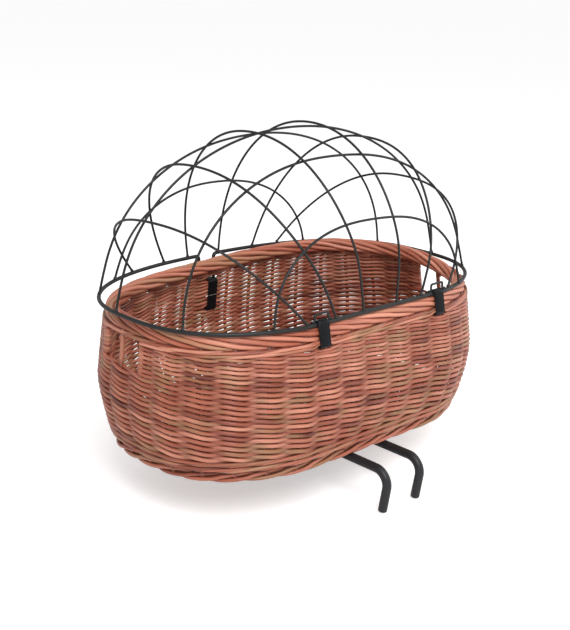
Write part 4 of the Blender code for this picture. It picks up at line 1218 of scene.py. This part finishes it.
class BASKET_OT_cage(Operator):
    """Bend the cage: the ring, the crossing wires with their welds, and the strap eyes"""

    bl_idname = "basket.cage"
    bl_label = "Cage"

    def execute(self, context):
        finish = coated_finish()
        ring = Bundle()
        tube(ring, ring_line(), RING_RADIUS, sides=14, closed=True)
        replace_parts(ring.build("ring_wire", finish, "cage", "coated_wire"), "cage_ring")
        names = [f"cross_wire_{k}" for k in range(1, 7)] + [f"long_wire_{k}" for k in range(1, 6)]
        flare = context.scene.basket_metal.weld_flare
        for name in names:
            line = fine_line(node_line(name, 6), step=0.005)
            drop = np.array((0.0, 0.0, 0.0008))
            line = np.vstack([line[0] - drop, fine_line(line[:2], step=0.0008)[:-1], line[1:-1],
                              fine_line(line[-2:], step=0.0008)[1:], line[-1] - drop])
            travelled = np.concatenate([[0], np.cumsum(np.linalg.norm(np.diff(line, axis=0), axis=1))])
            to_end = np.minimum(travelled, travelled[-1] - travelled)
            radius = 0.0015 + flare * (1 - smoothstep(to_end / 0.0028))
            wire = Bundle()
            tube(wire, line, radius, sides=12)
            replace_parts(wire.build("dome_" + name, finish, "cage", "coated_wire"), name)
        for side in ("left", "right"):
            eye = Bundle()
            tube(eye, fine_line(node_line("strap_eye_" + side, 6), step=0.0012), 0.0014, sides=10)
            item = eye.build("ring_eye_" + side, finish, "cage", "coated_wire")
            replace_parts(item, "strap_eye_" + side)
        return {"FINISHED"}


def strap_profile(width, thickness, groove):
    """A strap's section: rounded edges, a slight crown and a groove pressed along each edge."""
    half, thick = width / 2, thickness / 2
    inset = 0.0018
    lip = 0.0004
    right = [(half, 0.0), (half - 0.12 * thick, 0.62 * thick), (half - 0.5 * thick, 0.94 * thick),
             (half - inset + lip, thick), (half - inset, thick - groove), (half - inset - lip, thick),
             (half * 0.35, thick * 1.04)]
    top = right + [(-x, y) for x, y in reversed(right)]
    under = [(-half + 0.12 * thick, -0.62 * thick), (-half + 0.5 * thick, -0.94 * thick), (-half * 0.35, -thick),
             (half * 0.35, -thick), (half - 0.5 * thick, -0.94 * thick), (half - 0.12 * thick, -0.62 * thick)]
    return np.array((top + under)[::-1])


def bend_share(path, closed, sharp=0.35):
    """How sharply a path turns at each point, from nought to one."""
    along = directions(path, closed)
    turned = np.linalg.norm(np.roll(along, -1, 0) - np.roll(along, 1, 0), axis=1)
    if not closed:
        turned[0] = turned[-1] = 0
    step = np.linalg.norm(np.roll(path, -1, 0) - path, axis=1).clip(1e-5)
    rate = turned / (2 * step) / 1000
    return np.clip(rate / sharp, 0, 1)


def stitches(bundle, path, normal_sign, across, offset, thickness, pitch=0.0026, **values):
    """Short stitches along a strap's path, lying on one face of it."""
    path = np.asarray(path, float)
    travelled = np.concatenate([[0], np.cumsum(np.linalg.norm(np.diff(path, axis=0), axis=1))])
    along = directions(path, False)
    normal = unit(np.cross(along, np.broadcast_to(across, along.shape))) * normal_sign
    for k in range(int(travelled[-1] / pitch)):
        spots = travelled[-1] * 0 + (k + np.array((0.15, 0.35, 0.65, 0.85))) * pitch
        middle = np.stack([np.interp(spots, travelled, path[:, c]) for c in range(3)], -1)
        lift = np.stack([np.interp(spots, travelled, normal[:, c]) for c in range(3)], -1)
        rise = thickness / 2 + np.array((-0.0002, 0.00022, 0.00022, -0.0002))
        tube(bundle, middle + lift * rise[:, None] + np.asarray(across) * offset, 0.0003, sides=6, **values)


class BASKET_OT_hinge_straps(Operator):
    """Sew the two strap loops that hold the cage ring to the rim"""

    bl_idname = "basket.hinge_straps"
    bl_label = "Hinge straps"

    def execute(self, context):
        straps = context.scene.basket_straps
        finish = leather_finish(STRAP_WIDTH / 2)
        thread = thread_finish()
        for side, place in zip(("left", "right"), STRAP_PLACES):
            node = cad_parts["hinge_strap_" + side].data
            spots = [Vector((v.co.y, v.co.z)) for v in node.vertices]
            hull = np.array([tuple(spots[k]) for k in geometry.convex_hull_2d(spots)])
            loop = fine_line(np.column_stack([np.full(len(hull), place), hull]), closed=True, step=0.0016)
            middle = loop.mean(0)
            along = directions(loop, True)
            normal = unit(np.cross(along, (1.0, 0.0, 0.0)))
            if np.mean(np.sum(normal * (loop - middle), 1)) < 0:
                loop = loop[::-1]
                normal = unit(np.cross(directions(loop, True), (1.0, 0.0, 0.0)))
            path = loop - normal * (STRAP_THICKNESS / 2)
            bundle = Bundle()
            # The bend share marks where the leather gets its painted highlight
            sweep(bundle, path, strap_profile(STRAP_WIDTH, STRAP_THICKNESS, straps.groove), (1, 0, 0),
                  closed=True, recess=np.repeat(bend_share(path, True), 20))
            item = bundle.build("strap_loop_" + side, finish, "tub", "strap_leather", sharp=60)
            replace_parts(item, "hinge_strap_" + side)
            inner = path[(path[:, 1] > middle[1]) & (np.abs(path[:, 2] - middle[2]) < 0.009)]
            inner = inner[np.argsort(inner[:, 2])]
            sewn = Bundle()
            for offset in (-STRAP_WIDTH / 2 + 0.0032, STRAP_WIDTH / 2 - 0.0032):
                stitches(sewn, inner, -1, (1, 0, 0), offset, STRAP_THICKNESS, tone=0.5)
            seam = sewn.build("strap_stitches_" + side, thread, "tub", "strap_leather")
            seam.parent = item
            seam.matrix_parent_inverse = Matrix.Identity(4)
        return {"FINISHED"}


def thread_finish():
    """Waxed thread, twisted."""
    name = "waxed_thread"
    material = bpy.data.materials.get(name)
    if material:
        return material
    colour = list(bpy.context.scene.basket_straps.thread)
    values = {"Base": colour, "Rubbed": [c * 0.5 for c in colour], "Wear": 1.0}
    return new_finish(name, group_named("Plastic coating", coating_group), values, 0.3)


class BASKET_OT_closure(Operator):
    """Make the closure at the back: the strap through the wall, its flap and the buckle"""

    bl_idname = "basket.closure"
    bl_label = "Closure"

    def execute(self, context):
        straps = context.scene.basket_straps
        finish = leather_finish(CLOSURE_WIDTH / 2)
        profile = strap_profile(CLOSURE_WIDTH, STRAP_THICKNESS, straps.groove)
        thread = thread_finish()

        def outer_y(height):
            return HALF_DEPTH + float(wall_out(height))

        inset = 2 * WALL_HALF + 0.0007 + STRAP_THICKNESS / 2
        corners = [(0, outer_y(CLOSURE_TOP) + 0.0004, CLOSURE_TOP),
                   (0, outer_y(CLOSURE_TOP) - inset, CLOSURE_TOP)]
        for height in np.linspace(CLOSURE_TOP, CLOSURE_BOTTOM, 7)[1:-1]:
            corners.append((0, outer_y(height) - inset, height))
        leg = BUCKLE_Y - FOLD_RADIUS
        corners += [(0, outer_y(CLOSURE_BOTTOM) - inset, CLOSURE_BOTTOM), (0, leg, CLOSURE_BOTTOM)]
        path = list(filleted(corners, 0.0012, steps=5))[:-1]
        path += list(filleted([path[-1], (0, leg, CLOSURE_BOTTOM), (0, leg, BUCKLE_HEEL - 0.0005)], 0.0012, steps=5))[1:]
        for k in range(13):
            turn = math.pi * k / 12
            path.append(np.array((0, BUCKLE_Y - FOLD_RADIUS * math.cos(turn),
                                  BUCKLE_HEEL + FOLD_RADIUS * math.sin(turn))))
        path.append(np.array((0, BUCKLE_Y + FOLD_RADIUS, BUCKLE_HEEL - 0.008)))
        path = in_tub(fine_line(np.array(path), step=0.0012))
        bundle = Bundle()
        # The bend share marks where the leather gets its painted highlight
        sweep(bundle, path, profile, (1, 0, 0), recess=np.repeat(bend_share(path, False), 20))
        strap = bundle.build("closure_strap_leather", finish, "tub", "strap_leather", sharp=60)
        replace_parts(strap, "closure_strap")

        high = BUCKLE_TOP - BUCKLE_RADIUS - GAP
        low = BUCKLE_HEEL + FOLD_RADIUS
        tail_end = BUCKLE_HEEL - 0.0215
        corners = [(0, outer_y(CLOSURE_TOP), CLOSURE_TOP), (0, FLAP_Y, CLOSURE_TOP), (0, FLAP_Y, high),
                   (0, TAIL_Y, low), (0, TAIL_Y, tail_end)]
        path = fine_line(filleted(corners, 0.0019, steps=6), step=0.0008)
        width = CLOSURE_WIDTH
        from_end = np.linalg.norm(path - path[-1], axis=1)
        point = 0.006
        share = np.sqrt(np.clip(1 - (1 - np.clip(from_end / point, 0, 1)) ** 2, 0.03, 1))
        bundle = Bundle()
        # The bend share marks where the leather gets its painted highlight
        sweep(bundle, in_tub(path), profile, (1, 0, 0), width_share=share,
              recess=np.repeat(bend_share(path, False), 20))
        flap = bundle.build("closure_flap_leather", finish, "tub", "strap_leather", sharp=60)
        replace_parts(flap, "closure_flap")
        slope = (TAIL_Y - FLAP_Y) / (high - low)
        arm_y = BUCKLE_Y + BUCKLE_RADIUS + GAP + PRONG_RADIUS
        crossing = high - (arm_y - FLAP_Y) / slope
        punch_holes(flap, crossing, tail_end)
        self.sew(thread, flap)
        self.buckle(context)
        return {"FINISHED"}

    def sew(self, thread, flap):
        """The pale seam across the inner strap."""
        sewn = Bundle()
        height = (CLOSURE_TOP + CLOSURE_BOTTOM) / 2
        face = HALF_DEPTH + float(wall_out(height)) - 2 * WALL_HALF - 0.0007 - STRAP_THICKNESS
        for k in range(-4, 5):
            x = k * 0.00165
            line = [(x - 0.0007, face + 0.0002, height), (x - 0.0005, face - 0.0003, height),
                    (x + 0.0005, face - 0.0003, height), (x + 0.0007, face + 0.0002, height)]
            tube(sewn, in_tub(np.array(line)), 0.00035, sides=6, tone=0.5)
        sewn.build("closure_stitches", thread, "tub", "strap_leather")

    def buckle(self, context):
        """The buckle's frame on the tub and its prong on the prong's own body."""
        half = CLOSURE_WIDTH / 2 + FIT + BUCKLE_RADIUS
        loop = filleted([(-half, BUCKLE_Y, BUCKLE_HEEL), (half, BUCKLE_Y, BUCKLE_HEEL),
                         (half, BUCKLE_Y, BUCKLE_TOP), (-half, BUCKLE_Y, BUCKLE_TOP)], 0.0025, closed=True)
        zinc = zinc_finish()
        bundle = Bundle()
        tube(bundle, in_tub(fine_line(loop, closed=True, step=0.0012)), BUCKLE_RADIUS, sides=14, closed=True)
        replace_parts(bundle.build("buckle_loop", zinc, "tub", "zinc_steel"), "buckle_frame")
        reach = BUCKLE_RADIUS + GAP + PRONG_RADIUS
        wrap = math.radians(235)
        points = []
        for k in range(16, -1, -1):
            turn = -wrap * k / 16
            points.append((0, BUCKLE_Y + reach * math.cos(turn), BUCKLE_HEEL + reach * math.sin(turn)))
        top = BUCKLE_TOP + 0.002
        points += [(0, BUCKLE_Y + reach, BUCKLE_HEEL + 0.004), (0, BUCKLE_Y + reach, top)]
        line = fine_line(np.array(points), step=0.0007)
        radius = PRONG_RADIUS * (1 - 0.45 * smoothstep((line[:, 2] - top + 0.003) / 0.003))
        bundle = Bundle()
        tube(bundle, in_tub(line), radius, sides=12)
        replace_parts(bundle.build("buckle_tongue", zinc, "prong", "zinc_steel"), "buckle_prong")


def punch_holes(flap, crossing, tail_end):
    """Punch the slot that the tongue swings out of, and a round hole below it."""
    cutter = Bundle()
    count = 16
    turn = 2 * np.pi * (np.arange(count) + 0.5) / count
    slot = (crossing + 0.003, BUCKLE_HEEL - 0.0052)
    hole = (tail_end + 0.0075, tail_end + 0.0075)
    for top, bottom in (slot, hole):
        heights = np.where(np.sin(turn) > 0, top - 0.0015 * (top > bottom), bottom + 0.0015 * (top > bottom))
        rings = []
        for y in (FLAP_Y - 0.004, TAIL_Y + 0.004):
            rings.append(np.stack([0.0015 * np.cos(turn), np.full(count, y), heights + 0.0015 * np.sin(turn)], -1))
        quads = [(k, count + k, count + (k + 1) % count, (k + 1) % count) for k in range(count)]
        cutter.add(in_tub(np.concatenate(rings)), np.array(quads),
                   [list(range(count)), list(range(2 * count - 1, count - 1, -1))])
    mesh = bpy.data.meshes.new("flap_punch")
    mesh.from_pydata(np.concatenate(cutter.points).tolist(), [], np.concatenate(cutter.quads).tolist() + cutter.caps)
    punch = bpy.data.objects.new("flap_punch", mesh)
    bpy.context.scene.collection.objects.link(punch)
    modifier = flap.modifiers.new("holes", "BOOLEAN")
    modifier.operation = "DIFFERENCE"
    modifier.solver = "EXACT"
    modifier.object = punch
    bpy.context.view_layer.update()
    cut = bpy.data.meshes.new_from_object(flap.evaluated_get(bpy.context.evaluated_depsgraph_get()))
    if len(cut.polygons) < len(flap.data.polygons) / 2:
        raise RuntimeError("the flap's holes could not be cut")
    flap.modifiers.clear()
    flap.data = cut
    bpy.data.objects.remove(punch)


class BASKET_OT_hooks(Operator):
    """Bend the two hook rods and press the saddles that hold them"""

    bl_idname = "basket.hooks"
    bl_label = "Hook rods"

    def execute(self, context):
        finish = coated_finish("coated_rod", 0.5)
        for side, x in (("left", -ROD_SPACING / 2), ("right", ROD_SPACING / 2)):
            middle = np.array((x, -ROD_BEND_START, ROD_Z - ROD_BEND_RADIUS))
            sweep_angle = math.pi / 2 + ROD_LEAN
            path = [np.array((x, y, ROD_Z)) for y in np.linspace(ROD_BACK_END, -ROD_BEND_START + 0.004, 12)]
            for k in range(33):
                turn = sweep_angle * k / 32
                path.append(middle + ROD_BEND_RADIUS * np.array((0, -math.sin(turn), math.cos(turn))))
            leg = np.array((0, math.sin(ROD_LEAN), -math.cos(ROD_LEAN)))
            path += [path[-1] + leg * ROD_LEG * share for share in (0.25, 0.5, 0.75, 1.0)]
            path = np.array(path)
            begin, end = path[0], path[-1]
            chamfer = (0.0004, 0.001)
            first = [begin - (begin - path[1]) / np.linalg.norm(begin - path[1]) * d for d in chamfer]
            last = [end - leg * d for d in chamfer]
            line = np.vstack([begin, first, path[1:-1], last[::-1], end])
            radius = np.full(len(line), ROD_RADIUS)
            radius[[0, -1]] = ROD_RADIUS - 0.001
            radius[[1, -2]] = ROD_RADIUS - 0.0004
            bundle = Bundle()
            tube(bundle, in_tub(line), radius, sides=28, reference=(1, 0, 0))
            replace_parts(bundle.build("hook_bar_" + side, finish, "tub", "coated_rod", sharp=38), "hook_rod_" + side)
        flat = -GAP - SADDLE_THICKNESS / 2
        reach = ROD_RADIUS + GAP + SADDLE_THICKNESS / 2
        corners = [(-SADDLE_HALF_LENGTH, 0, flat)]
        for side in (-1, 1):
            middle = side * ROD_SPACING / 2
            corners.append((middle - reach, 0, flat))
            for k in range(17):
                turn = math.pi + math.pi * k / 16
                corners.append((middle + reach * math.cos(turn), 0, ROD_Z + reach * math.sin(turn)))
            corners.append((middle + reach, 0, flat))
        corners.append((SADDLE_HALF_LENGTH, 0, flat))
        half, thick = SADDLE_WIDTH / 2, SADDLE_THICKNESS / 2
        edge = 0.0005
        profile = [(half, -thick + edge), (half, thick - edge), (half - edge, thick), (-half + edge, thick),
                   (-half, thick - edge), (-half, -thick + edge), (-half + edge, -thick), (half - edge, -thick)]
        for word, place in zip(("front", "back"), SADDLE_PLACES):
            path = np.array(corners) + (0, place, 0)
            from_end = np.minimum(np.abs(path[:, 0] - path[0, 0]), np.abs(path[:, 0] - path[-1, 0]))
            bundle = Bundle()
            sweep(bundle, in_tub(path), profile, (0, 1, 0))
            item = bundle.build("saddle_" + word, finish, "tub", "coated_rod", sharp=30)
            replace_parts(item, "rod_saddle_" + word)
            low = BASE_THICKNESS + GAP + STRIP_THICKNESS / 2
            line = np.array([(x, place, low) for x in np.linspace(-SADDLE_HALF_LENGTH, SADDLE_HALF_LENGTH, 40)])
            from_end = np.minimum(line[:, 0] - line[0, 0], line[-1, 0] - line[:, 0])
            share = np.sqrt(np.clip(1 - (1 - np.clip(from_end / half, 0, 1)) ** 2, 0.12, 1))
            share = 0.35 + 0.65 * share
            thin = STRIP_THICKNESS / 2
            strip_profile = [(x, math.copysign(thin, y) if abs(y) == thick else y * thin / thick)
                             for x, y in profile]
            bundle = Bundle()
            sweep(bundle, in_tub(line), strip_profile, (0, 1, 0), width_share=share)
            item = bundle.build("load_strip_" + word, zinc_finish(), "tub", "zinc_steel", sharp=30)
            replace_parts(item, "inner_strip_" + word)
        return {"FINISHED"}


class BASKET_OT_fasteners(Operator):
    """Turn the bolts with their socket heads, and the nuts inside the base"""

    bl_idname = "basket.fasteners"
    bl_label = "Bolts and nuts"

    def execute(self, context):
        zinc = zinc_finish()
        under = -2 * GAP - SADDLE_THICKNESS
        seat = BASE_THICKNESS + STRIP_THICKNESS + 2 * GAP
        head = BOLT_HEAD_HEIGHT
        spots = [(side * BOLT_X, place) for place in SADDLE_PLACES for side in (-1, 1)]
        for index, spot in enumerate(spots, 1):
            centre = in_tub((*spot, 0.0))
            socket = 0.0015
            levels = [(0.0002, under - head + 0.0016, 0), (socket, under - head + 0.0016, 1),
                      (socket, under - head + 0.0002, 1), (socket + 0.0003, under - head, 0),
                      (BOLT_HEAD_RADIUS * 0.62, under - head + 0.0001, 0), (BOLT_HEAD_RADIUS * 0.88, under - head * 0.72, 0),
                      (BOLT_HEAD_RADIUS, under - head * 0.3, 0), (BOLT_HEAD_RADIUS, under - 0.0001, 0),
                      (BOLT_RADIUS, under, 0)]
            top = seat + NUT_HEIGHT + 0.0015
            height = seat + NUT_HEIGHT * 0.9
            levels.append((BOLT_RADIUS, height, 0))
            while height < top - 0.0006:
                levels += [(BOLT_RADIUS - 0.00025, height + 0.0002, 0), (BOLT_RADIUS, height + 0.0004, 0)]
                height += 0.0004
            levels += [(BOLT_RADIUS - 0.0004, top, 0)]
            bundle = Bundle()
            lathe(bundle, centre, levels)
            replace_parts(bundle.build(f"saddle_bolt_{index}", zinc, "tub", "zinc_steel", sharp=35), f"bolt_{index}")
            flats, chamfer = NUT_HALF_FLATS, 0.0005
            bore = BOLT_RADIUS + GAP
            levels = [(bore, seat + 0.0001, 0), (flats * 0.98, seat, 0), (flats, seat + chamfer, 1),
                      (flats, seat + NUT_HEIGHT - chamfer, 1), (flats * 0.98, seat + NUT_HEIGHT, 0),
                      (bore, seat + NUT_HEIGHT - 0.0001, 0), (bore, seat + 0.0001, 0)]
            bundle = Bundle()
            lathe(bundle, centre, levels, steps=36)
            bundle.caps = []
            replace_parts(bundle.build(f"saddle_nut_{index}", zinc, "tub", "zinc_steel", sharp=35), f"nut_{index}")
        return {"FINISHED"}


class BASKET_OT_stage(Operator):
    """Set the pale floor, the soft light and the camera at the photograph's angle"""

    bl_idname = "basket.stage"
    bl_label = "Stage"

    def execute(self, context):
        stage = context.scene.basket_stage
        mesh = bpy.data.meshes.new("floor")
        size = 30.0
        mesh.from_pydata([(-size, -size, 0), (size, -size, 0), (size, size, 0), (-size, size, 0)], [], [(0, 1, 2, 3)])
        floor = bpy.data.objects.new("floor", mesh)
        context.scene.collection.objects.link(floor)
        floor.location.z = CAD_BOX[0][2] - 0.0005
        material = bpy.data.materials.new("pale_floor")
        material.use_nodes = True
        shader = material.node_tree.nodes["Principled BSDF"]
        mottle = add_node(material.node_tree, "ShaderNodeTexNoise", {
            "Vector": add_node(material.node_tree, "ShaderNodeTexCoord").outputs["Object"],
            "Scale": 3.0, "Detail": 4.0}).outputs["Fac"]
        pale = list(stage.floor)
        tint = blend_colours(material.node_tree, mottle, (*pale, 1), (*[c * 1.02 for c in pale], 1))
        material.node_tree.links.new(tint, shader.inputs["Base Color"])
        seen = add_node(material.node_tree, "ShaderNodeLightPath").outputs["Is Camera Ray"]
        glow = calculate(material.node_tree, "MULTIPLY", seen, stage.glow)
        material.node_tree.links.new(glow, shader.inputs["Emission Strength"])
        shader.inputs["Emission Color"].default_value = (1, 1, 1, 1)
        shader.inputs["Roughness"].default_value = 0.9
        shader.inputs["Specular IOR Level"].default_value = 0.1
        mesh.materials.append(material)
        world = bpy.data.worlds.new("studio")
        world.use_nodes = True
        world.node_tree.nodes["Background"].inputs["Color"].default_value = (1.0, 1.0, 1.0, 1)
        ray = add_node(world.node_tree, "ShaderNodeLightPath").outputs["Is Camera Ray"]
        strength = remap(world.node_tree, ray, 0.0, 1.0, stage.sky, stage.backdrop)
        world.node_tree.links.new(strength, world.node_tree.nodes["Background"].inputs["Strength"])
        context.scene.world = world
        context.scene.view_settings.view_transform = "Standard"
        aim = Vector(CAMERA_AIM)
        for name, power, place, size in (("key", stage.key, (-1.0, -1.9, 2.3), 1.6),
                                         ("fill", stage.fill, (1.9, -0.8, 1.2), 1.8)):
            lamp = bpy.data.lights.new(name, "AREA")
            lamp.energy = power
            lamp.size = size
            item = bpy.data.objects.new(name, lamp)
            context.scene.collection.objects.link(item)
            item.location = place
            item.rotation_euler = (aim - Vector(place)).to_track_quat("-Z", "Y").to_euler()
        self.camera(context, stage, aim)
        return {"FINISHED"}

    def camera(self, context, stage, aim):
        """The camera that the photograph was taken with."""
        lens = bpy.data.cameras.new("photo_camera")
        lens.sensor_width = CAMERA_SENSOR
        lens.lens = stage.focal * CAMERA_SENSOR / IMAGE_LONG_SIDE
        lens.shift_x, lens.shift_y = stage.shift
        lens.clip_start = 0.05
        lens.clip_end = 100.0
        item = bpy.data.objects.new("photo_camera", lens)
        context.scene.collection.objects.link(item)
        back = Vector((-math.sin(stage.azimuth) * math.cos(stage.elevation),
                       -math.cos(stage.azimuth) * math.cos(stage.elevation), math.sin(stage.elevation)))
        right = Vector((math.cos(stage.azimuth), -math.sin(stage.azimuth), 0.0))
        up = right.cross(-back)
        tilted_right = right * math.cos(stage.roll) + up * math.sin(stage.roll)
        tilted_up = up * math.cos(stage.roll) - right * math.sin(stage.roll)
        turn = Matrix((tilted_right, tilted_up, back)).transposed()
        item.matrix_world = Matrix.Translation(aim + back * stage.distance) @ turn.to_4x4()
        context.scene.camera = item


class BASKET_PT_panel(Panel):
    """The basket's pieces and settings in the sidebar"""

    bl_idname = "BASKET_PT_panel"
    bl_label = "Dog bicycle basket"
    bl_space_type = "VIEW_3D"
    bl_region_type = "UI"
    bl_category = "Basket"

    def draw(self, context):
        column = self.layout.column(align=True)
        for operator in STEPS:
            column.operator(operator.bl_idname)
        for name in ("basket_willow", "basket_metal", "basket_straps", "basket_stage"):
            group = getattr(context.scene, name)
            box = self.layout.box()
            for key in group.__annotations__:
                box.prop(group, key)


SETTINGS = {"basket_willow": BasketWillow, "basket_metal": BasketMetal, "basket_straps": BasketStraps,
            "basket_stage": BasketStage}
STEPS = (BASKET_OT_stakes, BASKET_OT_wall, BASKET_OT_rim, BASKET_OT_foot, BASKET_OT_base, BASKET_OT_cage,
         BASKET_OT_hinge_straps, BASKET_OT_closure, BASKET_OT_hooks, BASKET_OT_fasteners, BASKET_OT_stage)


def register():
    """Register the settings, the operators and the panel."""
    for cls in (*SETTINGS.values(), *STEPS, BASKET_PT_panel):
        bpy.utils.register_class(cls)
    for name, cls in SETTINGS.items():
        setattr(bpy.types.Scene, name, PointerProperty(type=cls))


def unregister():
    """Take the settings, the operators and the panel out again."""
    for name in SETTINGS:
        delattr(bpy.types.Scene, name)
    for cls in (BASKET_PT_panel, *reversed(STEPS), *reversed(SETTINGS.values())):
        bpy.utils.unregister_class(cls)


def main():
    """Build every piece in order."""
    register()
    for operator in STEPS:
        space, name = operator.bl_idname.split(".")
        getattr(getattr(bpy.ops, space), name)()


if __name__ == "__main__":
    main()
